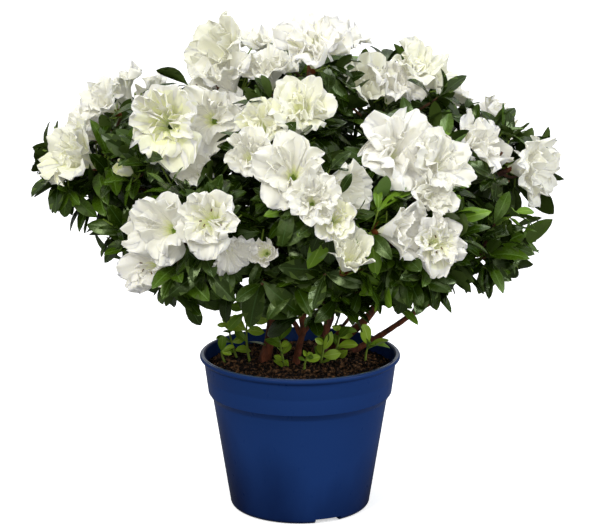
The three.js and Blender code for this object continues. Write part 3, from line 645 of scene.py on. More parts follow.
def add_tubes(heap, paths, radii, sides, slot=0, rings=None):
    """Adds closed round tubes to a heap. slot is a number, or one for each ring gap."""
    rings = tube_rings(paths, radii, sides) if rings is None else rings
    copies, count = rings.shape[:2]
    points = np.concatenate([rings.reshape(copies, -1, 3), paths[:, :1], paths[:, -1:]], 1)
    walls, caps = tube_faces(count, sides)
    gaps = np.broadcast_to(slot, count - 1)
    cap_slots = np.repeat([gaps[0], gaps[-1]], sides)
    heap.add(points, [(walls, np.repeat(gaps, sides)), (caps, cap_slots)])

# %% [markdown]
# ## The pot
#
# An injection-moulded nursery pot: a tapered body, a wider collar with a rounded rim, a faint line
# where the mould closes, and drainage notches round its foot.
# It is a profile turned round the Z axis. Blender's Screw modifier would turn it too, but the
# lens and tube helpers already work on arrays, and a ring of numbers is easier to check against
# the CAD node. The notches are cut with a Boolean modifier, which is then applied.

# %% Sizes of the pot
POT = {
    "rim": 70.0,  # outer radius of the bead
    "bead": 3.2,  # height of the bead
    "collar_top": 67.8,
    "collar_foot": (64.2, 83.0),  # radius and height
    "body_top": (61.2, 79.0),
    "body_foot": 48.6,
    "corner": 4.0,
    "wall": 1.5,
    "floor": 4.8,
    "line": 94.0,  # height of the faint moulded line
    "sides": 144,
}
POT_TOP = POT_HEIGHT / MM
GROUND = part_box("root_ball")[1].z / MM
HIGHLIGHT_BAND = 0.45  # height of the top band of the rim, a lighter blue that paints its highlight line
SHARP_FOLD = 38  # degrees: edges of the pot that fold more are drawn sharp
NOTCHES = 3
NOTCH = {"first": 24.0, "width": 19.0, "depth": 9.0, "height": 3.4}  # first: degrees from the front
DRAIN = {"width": 6.0, "reach": 7.0}
print("pot", POT_TOP, "mm high, peat at", round(GROUND, 1), "mm")


# %% The profile of the pot
def arc(centre, radius, start, end, steps):
    """Points of an arc in the profile, [radius, height], with angles in degrees."""
    angles = np.radians(np.linspace(start, end, steps))
    return [[centre[0] + radius * math.cos(a), centre[1] + radius * math.sin(a)] for a in angles]


def body_radius(z):
    """Outer radius of the pot's body at a height."""
    return POT["body_foot"] + (POT["body_top"][0] - POT["body_foot"]) * z / POT["body_top"][1]


def collar_radius(z):
    """Outer radius of the pot's collar at a height."""
    foot_radius, foot = POT["collar_foot"]
    return foot_radius + (POT["collar_top"] - foot_radius) * (z - foot) / (POT_TOP - foot)


def pot_profile():
    """From the middle of the underside, up the outside, over the rim and down the inside."""
    wall, corner, rim = POT["wall"], POT["corner"], POT["rim"]
    foot_radius, foot = POT["collar_foot"]
    top_radius, top = POT["body_top"]
    line, bead = POT["line"], POT_TOP - POT["bead"]
    profile = [[0, 0.6], [12, 0.6], [14, 0], [POT["body_foot"] - corner, 0]]
    profile += arc((body_radius(corner) - corner, corner), corner, -90, 0, 7)[1:]
    profile += [[body_radius(z), z] for z in (20, 45, 70, top - 1)]
    profile += [[top_radius + 0.1, top], [top_radius + 1.2, top + 1.2], [foot_radius - 0.7, foot - 0.5]]
    for z in (foot, foot + 1, line - 0.7, line, line + 0.7, bead - 3, bead - 1.5):
        profile.append([collar_radius(z) - (0.14 if z == line else 0), z])
    profile += [[rim - 0.9, bead - 0.3]]
    profile += arc((rim - 1.2, bead + 1.2), 1.2, -45, 0, 3)
    profile += arc((rim - 1.7, POT_TOP - 1.7), 1.7, 0, 90, 6)
    profile += [[POT["collar_top"] - wall + 1, POT_TOP], [POT["collar_top"] - wall, POT_TOP - 0.8]]
    profile += [[collar_radius(foot) - wall, foot - wall], [top_radius - wall, top - wall]]
    profile += [[body_radius(POT["floor"] + 2) - wall, POT["floor"] + 2]]
    profile += [[body_radius(POT["floor"]) - wall - 2, POT["floor"]], [0, POT["floor"]]]
    return np.array(profile, float)


def turned(profile, sides):
    """A closed mesh: a profile that starts and ends on the axis, turned round Z. The very top
    of the rim gets the second material, a glossy lighter blue that paints a highlight line on it."""
    angles = 2 * np.pi * np.arange(sides) / sides
    rings = profile[1:-1]
    flat = np.stack([np.cos(angles), np.sin(angles), np.zeros(sides)], 1)
    points = rings[:, None, 0, None] * flat[None] + rings[:, None, 1, None] * np.array([0, 0, 1.0])
    ends = np.array([[[0, 0, profile[0, 1]], [0, 0, profile[-1, 1]]]])
    heap = Heap()
    walls, caps = tube_faces(len(rings), sides)
    points = np.concatenate([points.reshape(1, -1, 3), ends], 1)
    on_top = np.minimum(rings[1:, 1], rings[:-1, 1]) > POT_TOP - HIGHLIGHT_BAND
    heap.add(points, [(walls, np.repeat(on_top.astype(int), sides)), (caps, 0)])
    return heap


# %% Cut the drainage notches
def box_cutter(size, place, turn):
    """A box to cut with, moved out from the axis and then turned about it."""
    x, y, z = np.array(size) / 2
    corners = np.array([[sx * x, sy * y, sz * z] for sx in (-1, 1) for sy in (-1, 1) for sz in (-1, 1)])
    corners[:, 0] += place
    spin = np.array([[math.cos(turn), math.sin(turn), 0], [-math.sin(turn), math.cos(turn), 0], [0, 0, 1]])
    faces = [(0, 1, 3, 2), (4, 6, 7, 5), (0, 4, 5, 1), (2, 3, 7, 6), (0, 2, 6, 4), (1, 5, 7, 3)]
    heap = Heap()
    heap.add((corners @ spin)[None], [(np.array(faces), 0)])
    return heap.build("cutter", [])


def apply_modifiers(piece):
    """Replaces a piece's mesh by what its modifiers make of it."""
    depsgraph = bpy.context.evaluated_depsgraph_get()
    made = bpy.data.meshes.new_from_object(piece.evaluated_get(depsgraph))
    piece.modifiers.clear()
    piece.data = made


def cut(piece, cutter):
    """Subtracts one object from another and removes it."""
    modifier = piece.modifiers.new("cut", "BOOLEAN")
    modifier.operation = "DIFFERENCE"
    modifier.solver = "EXACT"
    modifier.object = cutter
    apply_modifiers(piece)
    bpy.data.objects.remove(cutter)


pot = turned(pot_profile(), POT["sides"]).build("moulded_pot", [POT_PLASTIC, RIM_HIGHLIGHT])
for k in range(NOTCHES):
    turn = math.radians(NOTCH["first"] - 90 + 360 / NOTCHES * k)
    size = (2 * NOTCH["depth"], NOTCH["width"], 2 * NOTCH["height"])
    cut(pot, box_cutter(size, POT["body_foot"], turn))
    size = (DRAIN["width"], DRAIN["width"], 4 * POT["floor"])
    cut(pot, box_cutter(size, POT["body_foot"] - DRAIN["reach"], turn))
pot.data.set_sharp_from_angle(angle=math.radians(SHARP_FOLD))
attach(pot, "root")
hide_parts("pot")
print("pot faces:", len(pot.data.polygons))

# %% [markdown]
# ## The peat
#
# The root ball fills the pot to just under its rim. Only its top shows, and that is rough: peat
# fibres, crumbs and a few chips of bark.
# A disc is lifted by noise, and some hundreds of crumbs are scattered on it. Real relief catches
# the light at the low camera angle, where a bump map alone would look flat.

# %% The top of the root ball
PEAT_RINGS, PEAT_SIDES = 56, 150
PEAT_EDGE = collar_radius(GROUND - 1.5) - POT["wall"] - 0.3
PEAT_CROWN = 1.3  # how far its middle stands above the root ball
SLOPE_FROM, SLOPE = 44, 0.8  # where it starts to fall towards the wall, and how far it falls
PEAT_RELIEF = {  # how fine it is, how high, and its place in the noise
    "lumps": (0.035, 1.5, 1.7),
    "crumbs": (0.16, 1.0, 4.2),
    "grit": (0.55, 0.7, 9.1),
}


def peat_height(x, y):
    """Height of the peat: a slope down to the wall of the pot, with its relief on it."""
    slope = SLOPE * max(0.0, (math.hypot(x, y) - SLOPE_FROM) / (PEAT_EDGE - SLOPE_FROM)) ** 1.5
    height = GROUND + PEAT_CROWN - slope
    for fineness, rise, layer in PEAT_RELIEF.values():
        height += rise * noise.noise(Vector((x * fineness, y * fineness, layer)))
    return height


def root_ball():
    """The peat: a rough top, and plain sides inside the pot."""
    angles = 2 * np.pi * np.arange(PEAT_SIDES) / PEAT_SIDES
    rings = []
    for radius in np.linspace(1.0, PEAT_EDGE, PEAT_RINGS):
        ring = [(radius * math.cos(a), radius * math.sin(a)) for a in angles]
        rings.append([(x, y, peat_height(x, y)) for x, y in ring])
    inset = POT["wall"] + 0.4
    foot_radius, foot = POT["collar_foot"]
    for radius, height in (
        (collar_radius(foot) - inset, foot - POT["wall"]),
        (body_radius(POT["body_top"][1]) - inset, POT["body_top"][1] - POT["wall"] - 0.1),
        (body_radius(POT["floor"] + 0.4) - inset - 2.2, POT["floor"] + 0.4),
    ):
        rings.append([(radius * math.cos(a), radius * math.sin(a), height) for a in angles])
    rings = np.array(rings)[::-1].reshape(1, -1, 3)
    ends = np.array([[[0, 0, POT["floor"] + 0.4], [0, 0, peat_height(0, 0)]]])
    walls, caps = tube_faces(PEAT_RINGS + 3, PEAT_SIDES)
    heap = Heap()
    heap.add(np.concatenate([rings, ends], 1), [(walls, 0), (caps, 0)])
    return heap


# %% Crumbs of peat
CRUMBS = 2600
SEEDS = {  # each kind of thing has its own, so that a change to one leaves the others as they are
    "crumbs": 11,
    "planned sprays": 300,
    "twigs": 500,
    "inner shoots": 900,
    "leaves": 40,
    "flowers": 77,
    "scales": 91,
    "stamens": 15,
    "basal shoots": 4,
}


def chance(kind, number=0):
    """A source of random numbers that are the same on every run."""
    return np.random.default_rng(SEEDS[kind] + number)


def scatter_crumbs(heap, count, rng):
    """Small lumps of peat: eight-sided stones, each of its own shape."""
    radius = PEAT_EDGE * np.sqrt(rng.uniform(0, 0.93, count))
    turn = rng.uniform(0, 2 * np.pi, count)
    x, y = radius * np.cos(turn), radius * np.sin(turn)
    z = np.array([peat_height(*xy) for xy in zip(x, y)])
    size = rng.gamma(2.0, 0.26, count) + 0.25
    lean = unit(rng.normal(0, 1, (count, 3)) * (1, 1, 0.35))
    length = size * rng.uniform(0.8, 2.4, count)
    paths = np.stack([x, y, z + size * 0.3], 1)[:, None]
    paths = paths + lean[:, None] * np.linspace(-1, 1, 3)[None, :, None] * length[:, None, None]
    radii = size[:, None] * np.array([0.55, 1.0, 0.5]) * rng.uniform(0.7, 1.2, (count, 3))
    add_tubes(heap, paths, radii, 4)


peat_heap = root_ball()
scatter_crumbs(peat_heap, CRUMBS, chance("crumbs"))
peat = peat_heap.build("peat", [PEAT], sharp_above=50)
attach(peat, "root")
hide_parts("root_ball")

# %% [markdown]
# ## The plan of the plant
#
# The stems, the boughs and the masses of foliage are those of the CAD source, written again here
# because a scene may not read that file. Stems are given by the points that they pass through.
# Each mass has the middle and reach of its own space, the stem that its bough leaves, the number
# of its leafy shoots, and its blooms: right, back and up from the middle, then how wide each one
# is and how far it has opened. Words after these say where a bloom looks, how full its heart is
# and how creamy it is. A wreath is a number of blooms set evenly round the outer side.
#
# Some sprays of leaves are planned too, those that make the outline or hang in front of the
# stems. All other leaves come by the rules further down.

# %% Stems
def unit_of(*parts):
    """A direction, scaled to a length of 1."""
    return np.array(parts) / np.linalg.norm(parts)


STEMS = {  # path, radius at foot and tip, and flare of the root collar
    "main": ([[-25, 12, 100], [-21, 8, 118], [-19, 4, 142], [-16, 4, 168], [-11, 10, 200]], 3.7, 2.8, 1.3),
    "front": ([[-3, 2, 100], [-1, -4, 114], [2, -12, 129], [0, -24, 146]], 2.4, 1.9, 0.8),
    "right": (
        [[19, 22, 100], [24, 20, 107], [32, 14, 117], [44, 6, 130], [54, 0, 144], [66, -4, 155]],
        3.3, 2.5, 1.0,
    ),
    "back": ([[11, 33, 100], [20, 34, 122], [26, 37, 150], [28, 38, 178]], 3.0, 2.3, 1.0),
    "low_right": ([[34, 30, 100], [56, 24, 115], [74, 12, 131], [90, 4, 144], [104, 0, 155]], 2.2, 1.6, 0.9),
}

# %% Masses of foliage
MASSES = {  # middle, reach, (stem, how far along it), leafy shoots, and blooms or a wreath
    "low_left": ((-72, -84, 206), 60, ("front", 0.99), 7, [
        [-15, -26, 18, 55, 0.95, "simple"], [15, -40, 25, 49, 0.85, "full", "cream"],
        [-26, -10, -11, 40, 0.8, "simple"], [50, -22, 0, 20, 0.2],
    ]),
    "left_shoulder": ((-90, -42, 258), 50, ("main", 0.62), 6, [
        [3, -18, 25, 57, 0.7, "front", "lime"], [-23, -18, -8, 14, 0.05, "lime", "ivory"],
        [22, -17, -9, 34, 0.75],
    ]),
    "far_left": ((-142, -6, 244), 56, ("main", 0.7), 8, [
        [0, 18, 26, 44, 0.75], [-3, 0, 24, 36, 0.7],
        [-5, -24, 10, 47, 0.62, "full", "cream", "ivory"],
    ]),
    "top_left": ((-54, 18, 290), 52, ("main", 0.9), 5, [
        [3, 18, 24, 50, 0.6, "left", "simple", "ivory"], [4, -4, 12, 50, 0.8],
        [2, -28, -14, 50, 0.85],
    ]),
    "top": ((6, 10, 303), 50, ("main", 0.995), 5, [
        [4, -30, 25, 56, 0.88, "cream"], [-27, 2, 3, 44, 0.75],
    ]),
    "upper_front": ((-12, -58, 272), 46, ("main", 0.8), 5, [
        [-12, -13, 10, 36, 0.62, "full", "cream", "ivory"],
        [14, -8, 20, 46, 0.75, "full", "cream", "ivory"], [-19, -32, -7, 33, 0.5, "full"],
    ]),
    "front": ((10, -104, 236), 48, ("front", 0.8), 6, [
        [-15, -14, 26, 54, 0.9, "simple"], [-2, -24, 9, 33, 0.62, "full"],
        [8, -4, 12, 36, 0.4, "right", "simple"], [11, -26, -3, 28, 0.6, "full", "cream"],
    ]),
    "top_right": ((66, 22, 288), 50, ("back", 0.97), 5, [
        [-22, -14, 4, 38, 0.42, "up", "simple", "ivory"], [-1, -18, 9, 46, 0.82],
        [16, -10, 16, 52, 0.8, "full", "cream", "ivory"],
    ]),
    "right_shoulder": ((72, -68, 256), 50, ("right", 0.72), 6, [
        [-9, -18, 13, 62, 0.95], [18, -20, 6, 46, 0.85, "simple"],
    ]),
    "far_right": ((140, -2, 238), 56, ("right", 0.9), 8, [
        [-23, -14, 21, 43, 0.62], [17, -4, 4, 54, 0.8, "right", "simple", "clear"],
    ]),
    "low_right": ((74, -92, 206), 56, ("right", 0.99), 7, [
        [-14, -24, 16, 38, 0.55, "right"], [13, -22, 8, 41, 0.8, "full", "cream"],
        [-44, -34, -2, 28, 0.3, "up", "ivory"],
    ]),
    "right_skirt": ((128, -34, 188), 60, ("low_right", 0.995), 9, []),
    "front_skirt": ((6, -78, 170), 58, ("front", 0.6), 8, []),
    "left_skirt": ((-98, -32, 200), 52, ("main", 0.5), 8, []),
    "back_left": ((-104, 70, 232), 60, ("main", 0.76), 6, (4, 50)),
    "back": ((-4, 104, 240), 60, ("back", 0.8), 6, (4, 52)),
    "back_right": ((96, 78, 228), 60, ("back", 0.62), 6, (4, 50)),
    "back_top": ((4, 66, 288), 46, ("main", 0.85), 4, (3, 44)),
    "back_skirt_left": ((-66, 82, 174), 56, ("main", 0.4), 7, (1, 42)),
    "back_skirt_right": ((64, 88, 174), 56, ("back", 0.4), 7, (1, 42)),
}
LATE_BLOOMS = {  # a few more, which come from side shoots
    "low_left": [[27, -30, 3, 33, 0.8, "low", "simple"]],
    "top_left": [[-12, 10, 0, 28, 0.7, "left", "simple"], [-5, -58, -8, 46, 0.66, "front", "simple"]],
    "right_shoulder": [[11, -31, -15, 33, 0.6, "full"]],
    "far_left": [[10, -6, 45, 37, 0.78, "simple"]],
}
PLANNED_SHOOTS = {  # place, heading, leaves, leaf length, their tilts and kind
    "front_skirt": [
        ([10, -34, 23], (0.1, -0.85, -0.35), 7, 42, (55, 92), "dark"),
        ([-31, -30, 16], (-0.1, -0.85, -0.4), 6, 40, (55, 92), "deep"),
        ([-54, -10, 6], (-0.4, -0.6, -0.5), 6, 34, (40, 85), "dark"),
        ([34, -20, 8], (0.3, -0.8, -0.3), 6, 33, (45, 88), "deep"),
        ([-44, 50, -24], (-0.3, -0.7, -0.4), 5, 26, (25, 80), "young"),
    ],
    "low_left": [([11, -30, -10], (-0.1, -0.8, -0.4), 7, 40, (55, 90), "dark")],
    "top_left": [([7, -8, -54], (0.0, -0.9, 0.1), 7, 34, (40, 85), "dark")],
    "low_right": [
        ([-19, -22, -7], (0.1, -0.8, -0.3), 8, 38, (50, 88), "dark"),
        ([-9, 12, -42], (0.45, -0.8, 0.2), 5, 24, (25, 80), "young"),
    ],
    "left_skirt": [
        ([5, -28, -16], (-0.4, -0.7, -0.5), 7, 38, (35, 85), "dark"),
        ([-13, -4, 12], (-0.75, -0.35, -0.4), 6, 38, (20, 75), "deep"),
    ],
    "far_left": [
        ([-1, -8, -22], (-0.9, -0.25, -0.3), 6, 40, (10, 65), "dark"),
        ([-7, -12, 4], (-0.95, -0.2, 0.05), 5, 36, (12, 70), "dark"),
    ],
    "right_skirt": [
        ([-19, -12, -8], (0.25, -0.3, -0.9), 5, 30, (12, 60), "deep"),
        ([4, -6, 6], (0.75, -0.4, -0.5), 7, 36, (20, 75), "deep"),
    ],
    "far_right": [
        ([-4, -24, -38], (0.9, -0.3, -0.2), 6, 38, (12, 70), "green"),
        ([-3, -14, 17], (0.35, -0.3, 0.85), 6, 30, (25, 75), "dark"),
    ],
    "top_right": [
        ([-33, -34, 0], (0.2, -0.4, 0.85), 6, 38, (12, 65), "green"),
        ([28, -34, 4], (0.6, -0.3, 0.6), 6, 32, (20, 75), "dark"),
    ],
    "right_shoulder": [([-20, -30, -18], (-0.1, -0.5, 0.8), 6, 38, (18, 65), "young")],
}
FACES = {  # where a bloom looks, if not outwards to the front
    "left": unit_of(-0.6, -0.55, 0.5),
    "right": unit_of(0.85, -0.5, 0.1),
    "up": unit_of(0.25, -0.6, 0.7),
    "front": unit_of(-0.15, -0.95, 0.3),
    "low": unit_of(0.35, -0.85, -0.3),
}
CLEAR_WAY = unit_of(0, -1, 0.25)  # no leaf stands this way of a bloom called clear
HEARTS = {"simple": 2, "full": 10}  # short petals in the heart, otherwise 5 to 8
GREENS = {"cream": 2.0, "lime": 2.6}  # how far out the green of the throat reaches
REGIONS = {  # the crown is gathered in four parts, each with its own leaves, petals and twigs
    "left": ["low_left", "left_shoulder", "far_left", "left_skirt"],
    "middle": ["top_left", "top", "upper_front", "front", "top_right", "front_skirt"],
    "right": ["right_shoulder", "far_right", "low_right", "right_skirt"],
    "back": ["back_left", "back", "back_right", "back_top", "back_skirt_left", "back_skirt_right"],
}
print(len(STEMS), "stems and", len(MASSES), "masses")

# %% The shape of the crown
CROWN_CENTRE = np.array([-1.0, 0, 236])
CROWN_REACH = np.array([187.0, 168, 121])
SKIRT = 14.0  # no leaf comes closer to the peat than this
# The lower edge of the leaves rises to the front and sides: how steeply, and from how far out.
SKIRT_RISE = {"front": (0.26, -52.0), "left": (0.75, 68.0), "right": (0.45, 80.0)}
SKIRT_WAVES = 7.0  # how far it hangs lower here and higher there
LEAF_TOP = 324.0  # nor stands higher than this, where the topmost flowers are
HEART = np.array([0.0, 8, 165])  # the boughs spread from about here
HUB = 0.5  # how far in from a mass's middle its bough ends, as a share of its reach
STEM_TOP = 0.3  # how far out the stem of a mass goes on

# %% [markdown]
# ## Chance that repeats
#
# The twigs are placed by chance, but by the same chance on every run. The CAD source uses a small
# generator of its own, so the same one is written here: with the same seed and the same order of
# draws, the blooms and shoots come out where the CAD solids have them.


# %% Seeded chance
def seeded(seed):
    """Random numbers from 0 to 1 that are the same on every run."""
    mask = 0xFFFFFFFF
    state = seed & mask

    def draw():
        nonlocal state
        state = (state + 0x6D2B79F5) & mask
        mixed = ((state ^ (state >> 15)) * (state | 1)) & mask
        mixed ^= (mixed + (((mixed ^ (mixed >> 7)) * (mixed | 61)) & mask)) & mask
        return ((mixed ^ (mixed >> 14)) & mask) / 4294967296

    return draw


def between(low, high, share):
    """The value that lies a share of the way from low to high."""
    return low + (high - low) * share


def across(direction):
    """Two unit vectors square to a direction: one upwards and one level."""
    upright = (0.0, 1.0, 0.0) if abs(direction[2]) > 0.95 else (0.0, 0.0, 1.0)
    level = square_to(np.cross(direction, upright), direction)
    return unit(np.cross(level, direction)), level


def spoke(up, level, turn):
    """The way out from an axis at an angle round it, between its two vectors from across."""
    return level * math.cos(turn) + up * math.sin(turn)


GOLDEN_ANGLE = math.radians(137.5)  # from one leaf to the next round a shoot


# %% [markdown]
# ## Stems and boughs
#
# An azalea's stems are thin, crooked and red-brown, with fine flaking bark. Each limb is a tube
# along a smooth line, with its relief in the mesh: long ridges, small knots and a swelling where a
# bough leaves its stem. Blender's curve objects can make such tubes, but not their relief.


# %% Smooth lines
class Line:
    """A line that is walked by share of its length. curve gives a point for a value from 0 to 1."""

    STEPS = 200

    def __init__(self, curve):
        self.curve = curve
        self.values = np.linspace(0, 1, self.STEPS + 1)
        points = np.array([curve(t) for t in self.values])
        steps = np.linalg.norm(np.diff(points, axis=0), axis=1)
        self.lengths = np.concatenate([[0], np.cumsum(steps)])

    def value(self, share):
        """The curve's own value at a share of the length."""
        return np.interp(share * self.lengths[-1], self.lengths, self.values)

    def at(self, share):
        """The point at a share of the length."""
        return self.curve(self.value(share))

    def heading(self, share):
        """The direction of the line at a share of its length."""
        t = self.value(share)
        return unit(self.curve(min(t + 1e-4, 1)) - self.curve(max(t - 1e-4, 0)))


def through(path):
    """A smooth line through points: a centripetal Catmull-Rom spline."""
    path = np.array(path, float)
    padded = np.concatenate([[2 * path[0] - path[1]], path, [2 * path[-1] - path[-2]]])

    def curve(t):
        place = t * (len(path) - 1)
        k = min(int(place), len(path) - 2)
        w = place - k
        a, b, c, d = padded[k : k + 4]
        g0, g1, g2 = (np.linalg.norm(q - p) ** 0.5 for p, q in ((a, b), (b, c), (c, d)))
        leave = ((b - a) / g0 - (c - a) / (g0 + g1) + (c - b) / g1) * g1
        enter = ((c - b) / g1 - (d - b) / (g1 + g2) + (d - c) / g2) * g1
        return b + leave * w + (3 * (c - b) - 2 * leave - enter) * w**2 + (2 * (b - c) + leave + enter) * w**3

    return Line(curve)


def bezier(a, b, c, d):
    """A smooth line from a to d that leaves towards b and comes in from c."""
    return Line(lambda t: a * (1 - t) ** 3 + 3 * b * t * (1 - t) ** 2 + 3 * c * t * t * (1 - t) + d * t**3)


# %% Where the masses are, and the boughs that reach them
class Mass:
    """One mass of foliage: its own space, its blooms and shoots, and the end of its bough."""

    def __init__(self, index, name):
        site, self.reach, self.origin, self.shoots, flowers = MASSES[name]
        self.index, self.name = index, name
        self.site = np.array(site, float)
        self.outward = unit(self.site - HEART)
        self.hub = self.site - self.outward * HUB * self.reach
        self.blooms, self.wreath = (flowers, (0, 0)) if isinstance(flowers, list) else ([], flowers)


BOUGH_ROOT, BOUGH_TIP, SPRAY_TIP = 2.9, 2.3, 1.3  # radii: at most at its root, at its hub, at its end


def bough_line(mass):
    """The line of a mass's bough, and its radius at the root."""
    stem, along = mass.origin
    path, foot, tip, _ = STEMS[stem]
    line = through(path)
    start = line.at(along)
    straight = unit(mass.hub - start)
    span = np.linalg.norm(mass.hub - start)
    leave = unit(line.heading(along) * 0.9 + straight)
    enter = unit(mass.outward + straight)
    bend = bezier(start, start + leave * span * 0.35, mass.hub - enter * span * 0.3, mass.hub)
    return bend, min(0.8 * between(foot, tip, along), BOUGH_ROOT)


masses = [Mass(index, name) for index, name in enumerate(MASSES)]
mass_called = {mass.name: mass for mass in masses}
print("hub of the top mass:", mass_called["top"].hub.round(1))

# %% Limbs with relief
LIMB_STEP = 1.6  # mm between rings
LIMB_SIDES = 18
COLLAR_FADE = 5  # mm over which the swelling at the root of a limb dies out
FORKS = [  # path and radii of the thinner branches low down on the stems
    ([[1, -8, 124], [-4, -10, 134], [-9, -14, 144], [-14, -20, 158]], 1.9, 1.2),
    ([[2, -10, 127], [8, -13, 135], [13, -18, 144], [20, -28, 158]], 1.7, 1.1),
    ([[20, 20, 103], [26, 8, 121], [35, -4, 137], [44, -14, 154]], 1.5, 1.0),
]
limb_segments = []  # (from, to, radius) of every limb, for leaves to keep clear of


def bark_relief(point, angle, radius):
    """How far the bark stands out at a place, in mm: ridges along the limb, and knots."""
    around = Vector((math.cos(angle) * 1.6, math.sin(angle) * 1.6, 0))
    ridges = noise.noise(around + Vector((0, 0, point[2] * 0.05 + point[0] * 0.04)))
    flakes = noise.noise(Vector(point) * 0.45 + around)
    knots = max(0.0, noise.noise(Vector(point) * 0.14 + Vector((5.1, 0, 0))) - 0.18)
    return radius * (0.10 * ridges + 0.07 * flakes + 0.45 * knots)


def add_limb(heap, points, radii):
    """A limb along its points, with the relief of its bark."""
    rings = tube_rings(points[None], radii[None], LIMB_SIDES)
    for k, (centre, radius) in enumerate(zip(points, radii)):
        for j in range(LIMB_SIDES):
            angle = 2 * math.pi * j / LIMB_SIDES
            out = (rings[0, k, j] - centre) / radius
            rings[0, k, j] += out * bark_relief(rings[0, k, j], angle, radius)
    add_tubes(heap, points[None], radii[None], LIMB_SIDES, rings=rings)
    ends, widths = points[::4], radii[::4]
    limb_segments.extend(zip(ends[:-1], ends[1:], np.maximum(widths[:-1], widths[1:])))


def limb_points(line):
    """Shares of a line's length at even steps, and the points there."""
    shares = np.linspace(0, 1, max(4, round(line.lengths[-1] / LIMB_STEP)))
    return shares, np.array([line.at(s) for s in shares])


limb_heap = Heap()
for path, foot, tip, flare in STEMS.values():
    shares, points = limb_points(through(path))
    points[0, 2] = GROUND - 1.5  # the root collar goes a little way into the peat
    swelling = flare * np.exp(-(points[:, 2] - GROUND).clip(0) / COLLAR_FADE)
    add_limb(limb_heap, points, between(foot, tip, shares) + swelling)

for path, foot, tip in FORKS:
    shares, points = limb_points(through(path))
    add_limb(limb_heap, points, between(foot, tip, shares))

for mass in masses:
    line, root_radius = bough_line(mass)
    shares, points = limb_points(line)
    swelling = 0.3 * root_radius * np.exp(-shares * line.lengths[-1] / COLLAR_FADE)
    radii = between(root_radius, BOUGH_TIP, shares) + swelling
    # The bough runs on as the stem of its mass.
    onward = unit(mass.hub - line.at(0.75))
    top = mass.site + mass.outward * mass.reach * STEM_TOP
    mass.stem = np.array([mass.hub, (mass.hub + top) / 2 + onward * 2, top])
    rest, rest_points = limb_points(through(mass.stem))
    points = np.concatenate([points, rest_points[1:]])
    radii = np.concatenate([radii, between(BOUGH_TIP, SPRAY_TIP, rest[1:])])
    add_limb(limb_heap, points, radii)

limbs = limb_heap.build("stems_and_boughs", [BARK])
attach(limbs, "root")
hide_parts(*[f"{name}_stem" for name in STEMS], *[f"bough_{name}" for name in MASSES])

# %% [markdown]
# ## The space of each mass
#
# Neighbouring sprays on a real shrub share the light and hardly grow through each other. Here each
# mass keeps to its own space: a ball, cut by the planes between it and its neighbours, inside the
# egg of the whole crown. A point's room is how far inside that space it lies.

# %% Room, for many points at once
SITES = np.array([mass.site for mass in masses])
REACHES = np.array([mass.reach for mass in masses])


def inside_crown(points):
    """How far points are inside the egg of the crown, in mm."""
    return (1 - np.linalg.norm((points - CROWN_CENTRE) / CROWN_REACH, axis=1)) * CROWN_REACH[2]


def room_inside(mass, points, shared=0.0, top=LEAF_TOP):
    """How far points are inside a mass's space, in mm. shared is how far it may lean into the
    spaces of its neighbours."""
    points = np.atleast_2d(points)
    powers = ((points[:, None] - SITES) ** 2).sum(2) - REACHES**2
    spans = np.linalg.norm(SITES - mass.site, axis=1)
    spans[mass.index] = np.inf
    walls = (powers - powers[:, [mass.index]]) / (2 * spans)
    walls[:, mass.index] = np.inf
    ball = mass.reach - np.linalg.norm(points - mass.site, axis=1)
    above = np.minimum(points[:, 2] - GROUND - SKIRT, top - points[:, 2])
    return np.minimum.reduce([inside_crown(points), ball, above, walls.min(1) + shared])


LIMB_FROM, LIMB_TO, LIMB_RADIUS = (np.array(x) for x in zip(*limb_segments))


def clear_of_limbs(points):
    """How far points are from the nearest bark, in mm."""
    along = LIMB_TO - LIMB_FROM
    share = ((points[:, None] - LIMB_FROM) * along).sum(2) / (along * along).sum(1)
    nearest = LIMB_FROM + share.clip(0, 1)[..., None] * along
    return (np.linalg.norm(points[:, None] - nearest, axis=2) - LIMB_RADIUS).min(1)


def farthest(mass, direction, kept_back):
    """How far a mass's space reaches from its middle along a direction, in steps of 2 mm."""
    far = 2.0
    while room_inside(mass, mass.site + direction * (far + 2), top=np.inf)[0] > kept_back:
        far += 2
    return far


print("room at the middle of the top mass:", room_inside(mass_called["top"], mass_called["top"].site))

# %% [markdown]
# ## Blooms and shoots
#
# Azaleas flower at the ends of their shoots. Below each flower stand a collar of leaves and often
# two or three young shoots, and the shoots without flowers end in a rosette of leaves.
# The blooms and the main shoots are set by the same rule as in the CAD source. From there the
# growth goes on to finer twigs, and each leaf is tried for room before it is kept.

# %% Blooms of a mass
BLOOM_NECK = -0.62  # where a flower starts, behind its middle, as a share of its radius
BLOOM_KNEE = 5.0  # mm: its stalk starts this far behind its neck
WREATH_TILTS = (38, 46)  # degrees between a wreath's blooms and the way out
TO_THE_FRONT = np.array([0, -0.35, 0.1])  # blooms lean to the light in front


class Bloom:
    """A flower: the middle of its face, its radius, how far it has opened, and words about it."""

    def __init__(self, centre, radius, opened, words=()):
        self.centre, self.radius, self.open, self.words = centre, radius, opened, words
        self.facing = unit(unit(centre - HEART) + TO_THE_FRONT)
        self.extra = None  # short petals, where the words say how many
        for word in words:
            self.facing = FACES.get(word, self.facing)
            self.extra = HEARTS.get(word, self.extra)


def planned_bloom(mass, right, back, up, spread, opened, *words):
    """A bloom from its line in the plan."""
    return Bloom(mass.site + [right, back, up], spread / 2, opened, words)


